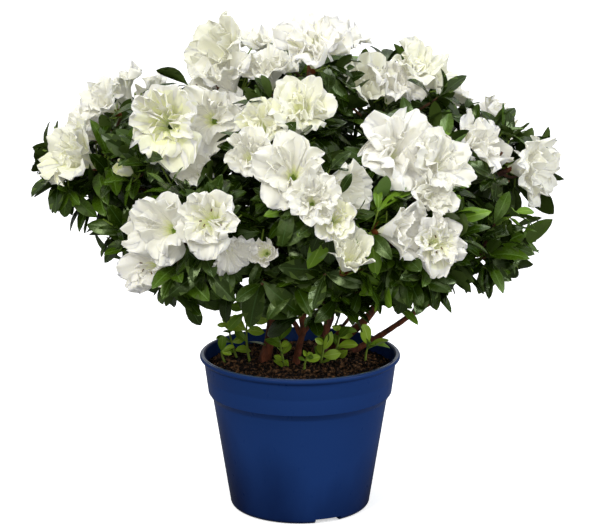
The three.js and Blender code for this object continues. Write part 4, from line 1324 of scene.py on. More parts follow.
def blooms_of(mass, draw):
    """The blooms of a mass: those its plan places, or an even wreath on its outer side."""
    blooms = [planned_bloom(mass, *plan) for plan in mass.blooms]
    count, spread = mass.wreath
    up, level = across(mass.outward)
    for k in range(count):
        angle = 2 * math.pi * (k + 0.5 * draw()) / count
        tilt = math.radians(between(*WREATH_TILTS, draw())) if count > 1 else 0
        direction = mass.outward * math.cos(tilt)
        direction = direction + spoke(up, level, angle) * math.sin(tilt)
        radius = 0.5 * spread * between(0.85, 1.05, draw())
        centre = mass.site + direction * farthest(mass, direction, radius * 0.25)
        blooms.append(Bloom(centre, radius, between(0.6, 0.95, draw())))
    for bloom in blooms:
        bloom.turn = draw()
    late = [planned_bloom(mass, *plan) for plan in LATE_BLOOMS.get(mass.name, [])]
    for k, bloom in enumerate(late):
        bloom.turn = 0.37 * (k + 1)
    return blooms + late


# %% Leafy shoots of a mass
SHOOT_EDGE = 0.6  # mm that a shoot keeps inside its space
LEAF_ROOM = 44.0  # the CAD's leaf length, which says how far its shoots stop short of the edge


def shoots_of(mass, draw):
    """Ends of the leafy shoots, evenly all round the mass, apart from back at the heart."""
    ends = []
    count = math.ceil(mass.shoots * 1.4)
    for k in range(count):
        if len(ends) == mass.shoots:
            break
        height = 1 - 2 * (k + 0.5) / count
        turn = GOLDEN_ANGLE * k + mass.index + 0.4 * draw()
        flat = math.sqrt(1 - height * height)
        direction = np.array([flat * math.cos(turn), flat * math.sin(turn), height])
        if direction @ mass.outward < -0.4:
            continue
        far = farthest(mass, direction, SHOOT_EDGE)
        length = max(far * 0.35, far - LEAF_ROOM * between(0.45, 0.8, draw()))
        ends.append(mass.site + direction * length)
    return ends


# %% What is taken up already
NOBODY, ANYBODY = -1, -2  # owners: of balls that no twig owns, and of no ball at all


class Taken:
    """Balls that leaves keep clear of, each with the twig that owns it."""

    def __init__(self):
        self.centres, self.radii, self.owners = np.zeros((0, 3)), np.zeros(0), np.zeros(0, int)

    def add(self, points, radius, owner=NOBODY):
        """Adds a ball of one radius at each point."""
        points = np.atleast_2d(points)
        self.centres = np.concatenate([self.centres, points])
        self.radii = np.concatenate([self.radii, np.full(len(points), float(radius))])
        self.owners = np.concatenate([self.owners, np.full(len(points), owner)])

    def free(self, points, clear, owner=ANYBODY):
        """True if all the points are clear of every ball, apart from the owner's own."""
        others = self.owners != owner
        gaps = np.linalg.norm(points[:, None] - self.centres[others], axis=2) - self.radii[others]
        return gaps.size == 0 or gaps.min() > clear


# %% What the blooms keep free
CORE = 0.72  # radius of a bloom's thick middle, as a share of its own
FREE_BALLS = ((0.75, 0.62), (1.4, 0.55), (2.1, 0.45))  # before its face: place and radius
CLEAR_BALLS = ((0.5, 0.75), (1.0, 0.75), (1.5, 0.75))  # and for one called clear


def cores_of(blooms):
    """The thick middle of each bloom, as a ball that nothing grows through."""
    cores = Taken()
    for bloom in blooms:
        rise = bloom.radius * between(0.6, 0.15, bloom.open)
        cores.add(bloom.centre + bloom.facing * rise, bloom.radius * CORE)
    return cores


def taken_by(blooms, growths=()):
    """The cores of blooms, the space in front of each face, and the leaves of some growths."""
    taken = cores_of(blooms)
    for bloom in blooms:
        balls = [(bloom.facing, *ball) for ball in FREE_BALLS]
        if "clear" in bloom.words:
            balls += [(CLEAR_WAY, *ball) for ball in CLEAR_BALLS]
        for way, place, share in balls:
            taken.add(bloom.centre + way * bloom.radius * place, bloom.radius * share)
    for growth in growths:
        for leaf in growth.leaves:
            taken.add(leaf_points(*leaf[:5]), LEAF_BALL)
    return taken


# %% Room for leaves
LEAF_CLEAR = 0.9  # between neighbouring leaves
LEAF_FROM_LIMB = 0.8  # between a leaf and the bark
LEAF_BALL = 0.4  # radius of the balls that stand for a leaf
LEAF_SIZES = (1.0, 0.88, 0.77)  # tried in turn where room is short
LEAF_SHARED = 5.0  # how far leaves of one mass may reach in among those of the next


def leaf_points(foot, direction, up, length, slimness):
    """Where a leaf is tried for room: its midrib, its edges and its tip."""
    side = np.cross(direction, up) * length * slimness * 0.5
    midrib = foot + direction * length * np.array([[0.3], [0.55], [0.8], [1.0]])
    widths = side * [[0.8], [1.0], [0.7]]
    return np.concatenate([midrib, midrib[:3] + widths, midrib[:3] - widths])


def above_skirt(points):
    """How far points are above the lower edge of the leaves, which rises to the front and sides."""
    lowest = np.full(len(points), GROUND + SKIRT)
    for side, out in (("front", -points[:, 1]), ("left", -points[:, 0]), ("right", points[:, 0])):
        slope, start = SKIRT_RISE[side]
        lowest = lowest + slope * (out - start).clip(0)
    waves = np.sin(points[:, 0] * 0.13 + 0.7) * np.sin(points[:, 1] * 0.11 + 0.4)
    return points[:, 2] - lowest + SKIRT_WAVES * waves


# %% Twigs, rosettes and side shoots
UP = np.array([0, 0, 1.0])
DROOP = np.array([0, 0, -0.12])
RISE = 0.4  # how far the tips of shoots turn up to the light
SIDE_ROOM, SIDE_FROM_LIMB, SIDE_CLEAR, SIDE_BALL = 3, 2, 1.0, 0.8  # room for side shoots, in mm


def twig_path(root, end, bow, points=8):
    """A twig's line, bowed a little."""
    shares = np.linspace(0, 1, points)[:, None]
    return root + (end - root) * shares + bow * 4 * shares * (1 - shares)


class Growth:
    """Twigs and leaves that grow together, by one source of chance, into space that is free."""

    def __init__(self, mass, taken, kind, first_owner, room=None):
        self.mass, self.taken, self.next_owner = mass, taken, first_owner
        self.rng = chance(kind, mass.index)
        self.room = room or self.mass_room
        self.leaves, self.green, self.woody = [], [], []

    def mass_room(self, points):
        """Leaves may lean into the next space, but keep the stems in front open."""
        return np.minimum(room_inside(self.mass, points, LEAF_SHARED), above_skirt(points))

    def try_leaf(self, foot, direction, up, length, slimness, kind, owner):
        """Keeps a leaf at the largest size that fits, or drops it."""
        direction = unit(direction)
        up = square_to(up, direction)
        for size in LEAF_SIZES:
            points = leaf_points(foot, direction, up, length * size, slimness)
            if self.room(points).min() < 0 or clear_of_limbs(points).min() < LEAF_FROM_LIMB:
                continue
            if self.taken.free(points, LEAF_CLEAR, owner):
                self.taken.add(points, LEAF_BALL, owner)
                self.leaves.append((foot, direction, up, length * size, slimness, kind))
                return

    def rosette(self, foot, heading, count, length, tilts, kind, owner, stack=5.0):
        """Leaves round the end of a shoot: the outer ones long and spreading, the inner ones short.
        stack is how far apart the lowest and the highest leaf leave it, in mm."""
        rng = self.rng
        up, level = across(heading)
        start = rng.uniform(0, 2 * np.pi)
        for k in range(count):
            inner = k / max(count - 1, 1)  # 0 for the lowest leaf, 1 for the youngest
            turn = start + GOLDEN_ANGLE * k + rng.normal(0, 0.12)
            tilt = math.radians(between(tilts[1], tilts[0], inner) + rng.normal(0, 7))
            direction = heading * math.cos(tilt) + (spoke(up, level, turn) + DROOP) * math.sin(tilt)
            blade_up = heading * 0.9 + UP * 0.6 + self.mass.outward * 0.2
            size = length * between(1.05, 0.66, inner**2) * rng.uniform(0.88, 1.12)
            place = foot - heading * stack * (1 - inner)
            self.try_leaf(place, direction, blade_up, size, rng.uniform(0.31, 0.43), kind, owner)

    def side_shoot(self, root, heading, turn, spread, length, count, kind):
        """A finer shoot off a twig, ending in a small rosette."""
        radial = spoke(*across(heading), turn)
        direction = unit(heading * math.cos(spread) + radial * math.sin(spread) + UP * RISE)
        end = root + direction * length
        way = root + direction * length * np.array([[0.6], [1.0]])
        if self.room(way).min() < SIDE_ROOM or clear_of_limbs(way[1:]).min() < SIDE_FROM_LIMB:
            return
        if not self.taken.free(way[1:], SIDE_CLEAR):
            return
        owner = self.next_owner
        self.next_owner += 1
        self.taken.add(way, SIDE_BALL, owner)
        self.green.append(twig_path(root, end, UP * -1.0, 6))
        self.rosette(end, direction, count, self.rng.uniform(27, 36), (24, 80), kind, owner)


# %% The planned sprays
# Owners start from these numbers, so that no two growths have the same.
SIDE_OWNERS, INNER_OWNERS, PLANNED_OWNERS = 1000, 5000, 9000
PLANNED_PROUD = 5.0  # mm that the planned sprays may stand out of the crown


def planned_sprays(mass, taken):
    """The sprays that the plan places. They grow before the others, so they have room."""
    def room(points):
        return np.minimum(inside_crown(points) + PLANNED_PROUD, above_skirt(points))

    sprays = Growth(mass, taken, "planned sprays", PLANNED_OWNERS + 10 * mass.index, room)
    for place, heading, count, length, tilts, kind in PLANNED_SHOOTS.get(mass.name, []):
        end = mass.site + place
        sprays.woody.append(twig_path(mass.stem[0], end, UP * -2.0))
        heading = unit(np.array(heading))
        sprays.rosette(end, heading, count, length, tilts, kind, sprays.next_owner, stack=14.0)
        sprays.next_owner += 1
    return sprays


# %% Everything in one mass
TWIG_TRIED = np.array([[0.3], [0.5], [0.7], [0.85], [1.0]])  # where its way is tried
TWIG_ROOM, TWIG_FROM_LIMB = 2, 1.55  # mm inside its space, and clear of the bark
TWIG_BALL = 1.25  # radius of the balls that stand for a twig
SIDE_SHARES = (0.3, 0.5, 0.68, 0.84)  # where side shoots leave a twig


def leaf_kind(mass, rng):
    """Most sprays are dark, some green and a few young (none at the left). More are green at the right, which
    paints the light that falls on that side.
    """
    pick = rng.uniform()
    if pick < 0.05 and mass.site[0] > -60:
        return "young"
    # a larger share of green sprays at the right: lighter leaves there as painted light
    green = 0.42 if mass.site[0] > 100 else 0.20
    return "green" if pick < green else ("deep" if pick < 0.62 else "dark")


def way_is_free(grown, root, end, cores):
    """True if a twig's way leads through no bloom or limb and stays inside."""
    points = root + (end - root) * TWIG_TRIED
    if grown.room(points).min() < TWIG_ROOM or clear_of_limbs(points).min() < TWIG_FROM_LIMB:
        return False
    return cores.free(points, TWIG_BALL)


def under_bloom(grown, bloom, root, end, kind, owner):
    """The twig of a bloom, with a collar of leaves and young shoots below the flower."""
    rng, facing = grown.rng, bloom.facing
    bloom.neck, bloom.knee = end, end - facing * BLOOM_KNEE
    grown.woody.append(twig_path(root, bloom.knee, UP * -1.5))
    count = 3 + int(rng.integers(0, 3))
    grown.rosette(bloom.knee, facing, count, rng.uniform(29, 37), (60, 98), kind, owner)
    for k in range(3):
        turn = rng.uniform(0, 2 * np.pi) + 2.1 * k
        length = bloom.radius * rng.uniform(0.7, 1.15)
        grown.side_shoot(bloom.knee, facing, turn, rng.uniform(0.9, 1.25), length, 6, kind)


def grow(mass, blooms, draw, every_bloom, planned):
    """Everything in one mass: its twigs and leaves, below its blooms and around planned sprays."""
    cores = cores_of(blooms)
    twigs = [(bloom.centre + bloom.facing * BLOOM_NECK * bloom.radius, bloom) for bloom in blooms]
    twigs += [(end, None) for end in shoots_of(mass, draw)]
    twigs.sort(key=lambda twig: unit(twig[0] - mass.site) @ mass.outward)
    grown = Growth(mass, taken_by(every_bloom, planned.values()), "twigs", SIDE_OWNERS)
    grown.leaves += planned[mass.name].leaves
    grown.woody += planned[mass.name].woody
    grown.blooms, rng, kept = blooms, grown.rng, []
    for i, (end, bloom) in enumerate(twigs):
        share = 2 * (i + 0.6) / len(twigs)
        start, stop = mass.stem[:2] if share < 1 else mass.stem[1:]
        root = start + (stop - start) * (share % 1)
        if bloom or way_is_free(grown, root, end, cores):
            kept.append((root, end, bloom))
            grown.taken.add(root + (end - root) * np.linspace(0.2, 1, 9)[:, None], TWIG_BALL, i)
    for i, (root, end, bloom) in enumerate(kept):
        heading = unit(end - root)
        kind = leaf_kind(mass, rng)
        if bloom:
            under_bloom(grown, bloom, root, end, kind, i)
        else:
            grown.woody.append(twig_path(root, end, UP * -2.0))
            grown.rosette(end, unit(heading + UP * RISE), 8, rng.uniform(32, 40), (22, 80), kind, i)
        for k, share in enumerate(SIDE_SHARES):
            start = root + (end - root) * share
            turn = GOLDEN_ANGLE * k + rng.uniform(0, 1.5) + i
            length, spread = rng.uniform(12, 24), rng.uniform(0.7, 1.1)
            grown.side_shoot(start, heading, turn, spread, length, 6, leaf_kind(mass, rng))
    return grown


# The CAD source makes its seeds in the same way.
draws = {mass.name: seeded(7919 + 31 * mass.index) for mass in masses}
blooms = {mass.name: blooms_of(mass, draws[mass.name]) for mass in masses}
every_bloom = [bloom for group in blooms.values() for bloom in group]
first_taken = taken_by(every_bloom)
planned = {mass.name: planned_sprays(mass, first_taken) for mass in masses}
grown = {
    mass.name: grow(mass, blooms[mass.name], draws[mass.name], every_bloom, planned)
    for mass in masses
}
print("leaves:", sum(len(g.leaves) for g in grown.values()), "and blooms:", len(every_bloom))

# %% Leaves along the boughs
INNER_SHARES = np.linspace(0.35, 0.97, 7)
INNER_DEPTH, INNER_SKIRT = 22.0, 12  # mm inside the crown, and above the lower edge of the leaves


def inner_shoots(mass, taken):
    """Dark shoots along a bough, which close the view through the crown."""
    def room(points):
        return np.minimum(inside_crown(points) - INNER_DEPTH, above_skirt(points) - INNER_SKIRT)

    line, _ = bough_line(mass)
    inner = Growth(mass, taken, "inner shoots", INNER_OWNERS + 100 * mass.index, room)
    rng = inner.rng
    for k, share in enumerate(INNER_SHARES):
        turn = 2.4 * k + rng.uniform(0, 1)
        length = rng.uniform(14, 26)
        kind = "deep" if rng.uniform() < 0.3 else "dark"
        spread = rng.uniform(0.8, 1.2)
        inner.side_shoot(line.at(share), line.heading(share), turn, spread, length, 7, kind)
    return inner


all_taken = taken_by(every_bloom, grown.values())
for mass in masses:
    inner = inner_shoots(mass, all_taken)
    grown[mass.name].leaves += inner.leaves
    grown[mass.name].green += inner.green
print("leaves with the inner ones:", sum(len(g.leaves) for g in grown.values()))

# %% [markdown]
# ## Leaves
#
# An azalea leaf is small, leathery and elliptic. Its midrib is sunk and paler than the blade, the
# blade is folded a little along it and puckered between the side veins, and the tip arches down.
# All leaves of a region are bent out of one flat grid of points at once. The upper side is glossy
# and dark, and the underside pale and dull, which is what shows where leaves hang over the pot.

# %% The grid of a leaf
LEAF_ALONG = np.array([0.0, 0.1, 0.25, 0.42, 0.6, 0.77, 0.91, 1.0])
LEAF_ACROSS = np.array([-1.0, -0.52, -0.07, 0.07, 0.52, 1.0])
LEAF_UNDER = [0, 2, 3, 5]
LEAF_THICKNESS = 0.45
LEAF_BENDS = {  # mean and spread of each, as a share of the length, or of the width for fold and curl
    "rise": (0.18, 0.07),
    "fall": (0.62, 0.22),
    "fold": (0.30, 0.10),
    "curl": (0.16, 0.1),
    "sideways": (0, 0.05),
}
upper_faces, under_faces, end_faces = lens_faces(len(LEAF_ALONG), len(LEAF_ACROSS), LEAF_UNDER)
is_vein = np.tile([False, False, True, False, False], len(LEAF_ALONG) - 1)


def leaf_half_width(along):
    """Half the width of a leaf for its place along the midrib, as a share of the widest."""
    blade = ((along - 0.05) / 0.95).clip(0, 1)
    return 0.05 + 0.95 * (4 * blade * (1 - blade)) ** 0.85 * (1 + 0.35 * (blade - 0.5))


def bend_leaves(heap, specs, rng):
    """Adds leaves to a heap. Each spec is (foot, direction, up, length, slimness, kind)."""
    foot, direction, up = (np.array([s[i] for s in specs]) for i in range(3))
    length, slimness = (np.array([s[i] for s in specs])[:, None, None] for i in (3, 4))
    kind = np.array([KINDS.index(s[5]) for s in specs])
    count = len(specs)
    twist = rng.normal(0, 0.16, (count, 1))
    side = np.cross(direction, up)
    side, up = side * np.cos(twist) + up * np.sin(twist), up * np.cos(twist) - side * np.sin(twist)
    t = LEAF_ALONG[None, :, None]
    q = LEAF_ACROSS[None, None, :]
    half = 0.5 * slimness * length * leaf_half_width(t)
    rise, fall, fold, curl, bend = (rng.normal(*by, (count, 1, 1)) for by in LEAF_BENDS.values())
    pucker = 0.015 * np.cos(np.pi * np.arange(len(LEAF_ALONG)))[None, :, None]
    pucker = pucker * (np.abs(q) < 0.9) * (np.abs(q) > 0.2)
    lift = length * (rise * t - fall * t * t * 0.5 + pucker * (t > 0.05) * (t < 0.95))
    lift = lift + half * (fold * np.abs(q) - curl * q * q)
    on = length * (t - 0.06 * t * t) + 0 * q
    over = half * q + length * bend * t * t
    grid = laid_out(foot, direction, side, up, on, over, lift)
    points = lens_points(grid, up[:, None, None], LEAF_THICKNESS, LEAF_UNDER)
    top_slots = np.where(is_vein[None], kind[:, None] + len(KINDS), kind[:, None])
    below = 2 * len(KINDS) + (kind >= KINDS.index("young")).astype(int)[:, None]
    heap.add(points, [(upper_faces, top_slots), (under_faces, below), (end_faces, below)])


# %% Grow the leaves of each region
for number, (region, names) in enumerate(REGIONS.items()):
    heap = Heap()
    specs = [leaf for name in names for leaf in grown[name].leaves]
    bend_leaves(heap, specs, chance("leaves", number))
    piece = heap.build(f"leaves_{region}", LEAF_MATERIALS)
    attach(piece, "root")
    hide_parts(*[f"foliage_{name}" for name in names])

# %% [markdown]
# ## Petals
#
# A semi-double azalea flower is a funnel of broad petals, with a second funnel inside it and a few
# short crumpled petals in the heart. Each petal is a piece of a surface of revolution: a line that
# leaves the base steeply and bends outwards, swept over the petal's width. Ruffles that grow
# towards the margin, a keel along the middle and a fold from side to side are laid over that.
# Cloth simulation could make the ruffles too, but it is slow, and each run would differ.
# How far a flower has opened sets how far its petals bend out: from a closed bud to a flat face.

# %% Grids of the petals
PETAL_THICKNESS = 0.34
WIDE_PETAL = (13, 17)  # rows and columns of points
SMALL_PETAL = (10, 9)
LINE_STEPS = 41  # points of the line that a petal follows
BASE_TILT = (26.0, 12.0)  # degrees from the flower's axis, at the foot of a petal: bud, open
# Tilt of the tips, bud and open, and how uneven it is; length; half the width, in radians and as a
# share of the length; height of the ruffles when open; and how much greener than the flower.
RING_VALUES = ("tips", "uneven", "length", "angle", "width", "ruffle", "greener")
RINGS = {
    "outer": ((-14, 98), 11, 1.0, 0.86, 0.56, 0.10, 1),
    "second": ((-16, 66), 11, 0.88, 0.86, 0.54, 0.13, 1),
    "heart": ((-10, 42), 14, 0.66, 0.80, 0.42, 0.20, 1.3),
}
RINGS = {ring: dict(zip(RING_VALUES, values)) for ring, values in RINGS.items()}
BUD_RUFFLE = 0.02


def petal_line(base_tilt, tip_tilt, steps):
    """Radius, height and tilt along a petal of length 1 that bends from one tilt to the other."""
    share = np.linspace(0, 1, steps)
    tilt = np.radians(base_tilt + (tip_tilt - base_tilt) * (share**1.4)[None])
    step = 1 / (steps - 1)
    radius = np.cumsum(np.sin(tilt), 1) * step
    height = np.cumsum(np.cos(tilt), 1) * step
    return radius - radius[:, :1], height - height[:, :1], tilt


# %% The plan of a flower's petals
IN_A_RING = 5  # petals of the outer and of the second ring
BY_CHANCE = (5, 9)  # short petals, from the first number up to below the second
BUD_UNTIL = 0.35  # a flower that has opened less shows no heart


def petals_of(bloom, rng):
    """Values for each petal of a flower: where it points, how it bends and how crumpled it is."""
    opened, radius = bloom.open, bloom.radius
    up, level = across(bloom.facing)
    base = between(*BASE_TILT, opened)
    reach, _, _ = petal_line(np.array([[base]]), np.array([[between(*RINGS["outer"]["tips"], opened)]]), 40)
    full = radius * min(max(0.97 / (reach.max() + 0.05), 1.2), 2.3)
    by_chance = int(rng.integers(*BY_CHANCE))
    extra = 0 if opened < BUD_UNTIL else bloom.extra or by_chance
    plan = [("outer", k / IN_A_RING) for k in range(IN_A_RING)]
    plan += [("second", (k + 0.5) / IN_A_RING) for k in range(IN_A_RING)]
    plan += [("heart", rng.uniform()) for _ in range(extra)]
    greenness = between(1.7, 0.9, min(1, opened * 1.3))
    greenness *= max([1] + [GREENS[word] for word in bloom.words if word in GREENS])
    petals = []
    for ring, place in plan:
        values = RINGS[ring]
        azimuth = 2 * math.pi * (place + bloom.turn) + rng.normal(0, 0.16)
        radial = spoke(up, level, azimuth)
        hang = -radial[2] * opened
        tip = between(*values["tips"], opened**0.85) + 28 * max(hang, 0) ** 2 + 14 * min(hang, 0)
        petals.append(
            {
                "ring": ring,
                "frame": (bloom.centre, bloom.facing, level, up),
                "azimuth": azimuth,
                "base": base * (1.0 if ring == "outer" else 0.75) + rng.normal(0, 3),
                "tip": tip + rng.normal(0, values["uneven"]) * min(1, opened + 0.2),
                "length": full * values["length"] * rng.uniform(0.92, 1.06),
                "radius": radius,
                "angle": values["angle"],
                "width": values["width"] * rng.uniform(0.92, 1.1),
                "ruffle": between(BUD_RUFFLE, values["ruffle"], opened) * rng.uniform(0.6, 1.4),
                "shade": bloom.shade,
                "green": greenness * rng.uniform(0.8, 1.15) * values["greener"],
            }
        )
    return petals


# %% Petals from their plan
THROAT = 0.07  # radius of the flower's tube, as a share of its own
GREEN_INSIDE = (0.42, 0.29, 0.19, 0.10)  # how far out it is warm, cream, lime and deep in the throat
GREEN_OUTSIDE = (0.20, 0.08)  # the same on the back of a petal


def bend_petals(heap, petals, rows, columns, rng):
    """Adds petals to a heap, all at once."""
    count = len(petals)
    labels = ("base", "tip", "length", "radius", "width", "angle", "ruffle", "azimuth", "green", "shade")
    base, tip, length, flower, width, angle, ruffle, azimuth, green, shade = (
        np.array([p[label] for p in petals])[:, None, None] for label in labels
    )
    radii, heights, tilts = petal_line(base[:, 0], tip[:, 0], LINE_STEPS)
    u = np.linspace(-1, 1, columns)[None, None, :]
    v = (np.linspace(0, 1, rows) ** 0.92)[None, :, None]
    # The top edge is an arch, with a small notch or point in its middle.
    arch = rng.uniform(0.14, 0.25, (count, 1, 1))
    point = rng.normal(0.0, 0.02, (count, 1, 1))
    margin = rng.normal(0, 0.020, (count, 1, columns)) * v**6
    along = v * (1 - arch * np.abs(u) ** 3 + point * np.exp(-((u / 0.18) ** 2)) + margin)
    which = np.arange(count)[:, None, None]
    place = along.clip(0, 1) * (LINE_STEPS - 1)
    low = np.minimum(place.astype(int), LINE_STEPS - 2)
    part = place - low

    def sample(table):
        """Values of a table along the line, where the points of the grid are."""
        return table[which, low] * (1 - part) + table[which, low + 1] * part

    radius = THROAT * flower + sample(radii) * length
    height = flower * BLOOM_NECK + sample(heights) * length
    tilt = sample(tilts)
    half = 0.30 + 0.70 * np.sin(np.pi * (0.04 + 0.60 * v.clip(0, 1))) ** 1.3
    half = width * length * half
    half = half * (1 - 0.34 * ((v - 0.62).clip(0, 1) / 0.38) ** 2)
    spread = np.minimum(angle, half / np.maximum(radius, 0.6))
    # Ruffles: two waves over the width, a frill at the margin, and a keel along the middle.
    ruffle = ruffle * length
    phases = rng.uniform(0, 2 * np.pi, (4, count, 1, 1))
    waves = rng.uniform(1.1, 2.1, (count, 1, 1))
    out = ruffle * v**1.8 * np.sin(waves * np.pi * u + phases[0] + 1.2 * v)
    out = out + ruffle * 0.55 * v**4 * np.sin(2.3 * waves * np.pi * u + phases[1] + 2.4 * v)
    crimp = np.where(np.arange(columns) % 2, 1.0, -1.0) * rng.uniform(0.2, 1.0, (count, 1, columns))
    out = out + 0.45 * ruffle * v**5 * np.sin(3.5 * np.pi * u + 2 * phases[3])
    out = out + 0.030 * length * v**7 * crimp * (0.4 + 0.6 * np.sin(2.2 * np.pi * u + phases[2]))
    out = out + ruffle * 0.5 * v**2 * np.sin(3.4 * np.pi * v + phases[3]) * (0.4 + 0.6 * np.abs(u))
    cup = rng.normal(0.05, 0.05, (count, 1, 1)) * length * v * u * u
    keel = 0.018 * length * (1 - v) ** 0.5 * np.exp(-((u / 0.16) ** 2)) * np.sin(np.pi * v.clip(0, 1))
    lap = 0.9 * u * v  # one edge lies over the next petal, the other under the one before
    lift = out - cup - keel + lap
    # The petal's own normal leans in towards the flower's axis.
    radius = radius - np.cos(tilt) * lift
    height = height + np.sin(tilt) * lift
    azimuth = azimuth + spread * u
    centre, facing, level, up = (np.array([p["frame"][i] for p in petals])[:, None, None] for i in range(4))
    radial = level * np.cos(azimuth)[..., None] + up * np.sin(azimuth)[..., None]
    grid = centre + facing * height[..., None] + radial * radius[..., None]
    normal = facing * np.sin(tilt)[..., None] - radial * np.cos(tilt)[..., None]
    under = list(range(0, columns, 2))
    points = lens_points(grid, normal, PETAL_THICKNESS, under)
    upper, lower, ends = lens_faces(rows, columns, under)
    middle = (v[0, 1:, 0] + v[0, :-1, 0]) / 2
    green, shade = green[:, :, 0], shade[:, :, 0]
    row_slots = []
    for bounds in (GREEN_INSIDE, GREEN_OUTSIDE):
        step = sum((middle[None] < bound * green).astype(int) for bound in bounds)
        row_slots.append(np.where(step > 0, step + len(PETAL_BLADES) - 1, shade))
    heap.add(
        points,
        [
            (upper, np.repeat(row_slots[0], columns - 1, axis=1)),
            (lower, np.tile(row_slots[1], len(under) - 1)),
            (ends, shade),
        ],
    )


# %% The petals of each region
WHITE, SOFT, IVORY = range(len(PETAL_BLADES))
WHITE_SHARE = 0.65


def flower_shade(bloom, rng):
    """Number of the blade colour: most flowers are white, some softer, and a few ivory."""
    pick = rng.uniform()
    if "ivory" in bloom.words:
        return IVORY
    return WHITE if pick < WHITE_SHARE else SOFT


flower_rng = chance("flowers")
for region, names in REGIONS.items():
    petals = []
    for bloom in (bloom for name in names for bloom in grown[name].blooms):
        bloom.shade = flower_shade(bloom, flower_rng)
        petals += petals_of(bloom, flower_rng)
    heap = Heap()
    bend_petals(heap, [p for p in petals if p["ring"] != "heart"], *WIDE_PETAL, flower_rng)
    bend_petals(heap, [p for p in petals if p["ring"] == "heart"], *SMALL_PETAL, flower_rng)
    piece = heap.build(f"petals_{region}", PETAL_BLADES + PETAL_FOOT, sharp_above=75)
    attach(piece, "root")

# %% [markdown]
# ## Twigs, stalks, sepals and stamens
#
# The small parts that join leaves and flowers to the boughs: woody twigs, green side shoots, the
# flowers' stalks with five sepals each, the rusty scales that a flower bud leaves behind, and a
# few stamens in the flowers that have room for them.

# %% Twigs and stalks
# Radii at root and tip, sides and material of each kind. 0 is bark and 1 green wood.
WOODY_TWIG = ((1.35, 0.85), 7, 0)
GREEN_TWIG = ((0.75, 0.5), 5, 1)
FLOWER_STALK = ((0.8, 1.5), 8, 1)


def add_paths(heap, paths, radii, sides, slot):
    """Tubes along paths that all have the same number of points."""
    if not paths:
        return
    paths = np.array(paths)
    shares = np.linspace(0, 1, paths.shape[1])
    widths = np.tile(between(radii[0], radii[1], shares), (len(paths), 1))
    add_tubes(heap, paths, widths, sides, slot)


def stalk_path(bloom):
    """From the knee to the neck of a flower."""
    return twig_path(bloom.knee, bloom.neck + bloom.facing * 0.8, np.zeros(3), 5)


for region, names in REGIONS.items():
    heap = Heap()
    for name in names:
        add_paths(heap, grown[name].woody, *WOODY_TWIG)
        add_paths(heap, grown[name].green, *GREEN_TWIG)
        add_paths(heap, [stalk_path(bloom) for bloom in grown[name].blooms], *FLOWER_STALK)
    piece = heap.build(f"twigs_{region}", [TWIG_BARK, GREEN_WOOD])
    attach(piece, "root")

# %% Sepals and bud scales
SCALE_ALONG = np.array([0.0, 0.3, 0.65, 1.0])
SCALE_ACROSS = np.array([-1.0, 0.0, 1.0])
SCALE_UNDER = [0, 1, 2]
SCALE_WIDTHS = np.array([0.7, 1.0, 0.72, 0.06])  # at the places along it, as shares of the widest
SCALE_THICKNESS = 0.3
# How many stand in a ring, degrees from the stalk, width, slot of the material and radius of the ring.
SEPALS = {"count": 5, "tilt": 34, "width": 2.6, "slot": 0, "radius": 1.3}
BUD_SCALES = {"count": 4, "tilt": 28, "width": 3.4, "slot": 1, "radius": 0.8}
SEPAL_LENGTH, BUD_SCALE_LENGTHS = 5.2, (6, 9)
WITH_BUD_SCALES = 0.55  # share of the flowers that still have their bud scales


def bend_scales(heap, specs, rng):
    """Small pointed scales with a slight hollow: (foot, direction, up, length, width, slot)."""
    foot, direction, up = (np.array([s[i] for s in specs]) for i in range(3))
    length, width = (np.array([s[i] for s in specs])[:, None, None] for i in (3, 4))
    slots = np.array([s[5] for s in specs])[:, None]
    side = np.cross(direction, up)
    t, q = SCALE_ALONG[None, :, None], SCALE_ACROSS[None, None, :]
    half = 0.5 * width * SCALE_WIDTHS[None, :, None]
    lift = length * (0.25 * t * t - 0.05 * t) * rng.uniform(0.2, 1.3, (len(specs), 1, 1))
    lift = lift + half * 0.35 * q * q
    grid = laid_out(foot, direction, side, up, length * t + 0 * q, half * q, lift)
    points = lens_points(grid, up[:, None, None], SCALE_THICKNESS, SCALE_UNDER)
    upper, lower, _ = lens_faces(len(SCALE_ALONG), len(SCALE_ACROSS), SCALE_UNDER)
    heap.add(points, [(upper, slots), (lower, slots)])


def ring_of_scales(centre, heading, length, rng, count, tilt, width, slot, radius):
    """Scales set evenly round a stalk, tilted out from its heading, hollow side inwards."""
    up, level = across(heading)
    start = rng.uniform(0, 2 * math.pi)
    specs = []
    for k in range(count):
        turn = start + 2 * math.pi * k / count
        radial = spoke(up, level, turn)
        angle = math.radians(tilt + rng.normal(0, 8))
        direction = heading * math.cos(angle) + radial * math.sin(angle)
        normal = heading * math.sin(angle) - radial * math.cos(angle)
        size = length * rng.uniform(0.85, 1.15)
        specs.append((centre + radial * radius, direction, normal, size, width, slot))
    return specs


scale_rng = chance("scales")
scale_specs = []
for bloom in every_bloom:
    facing = bloom.facing
    base = bloom.neck + facing * 0.3
    scale_specs += ring_of_scales(base, facing, SEPAL_LENGTH, scale_rng, **SEPALS)
    if scale_rng.uniform() < WITH_BUD_SCALES:
        length = scale_rng.uniform(*BUD_SCALE_LENGTHS)
        scale_specs += ring_of_scales(bloom.knee, facing, length, scale_rng, **BUD_SCALES)
scale_heap = Heap()
bend_scales(scale_heap, scale_specs, scale_rng)
sepals = scale_heap.build("sepals_and_bud_scales", [CALYX, BUD_SCALE])
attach(sepals, "root")

# %% Stamens
STAMENS_FROM = 0.6  # how far a flower has opened before they show
WITHOUT_STAMENS = 0.7  # share of those flowers that have turned them all into petals
FILAMENT = ((0.32, 0.2), 4, 0)  # radii, sides and material
ANTHER_TUBE = ((0.5, 0.45), 5, 1)
ANTHER_HALF = 0.9  # half its length


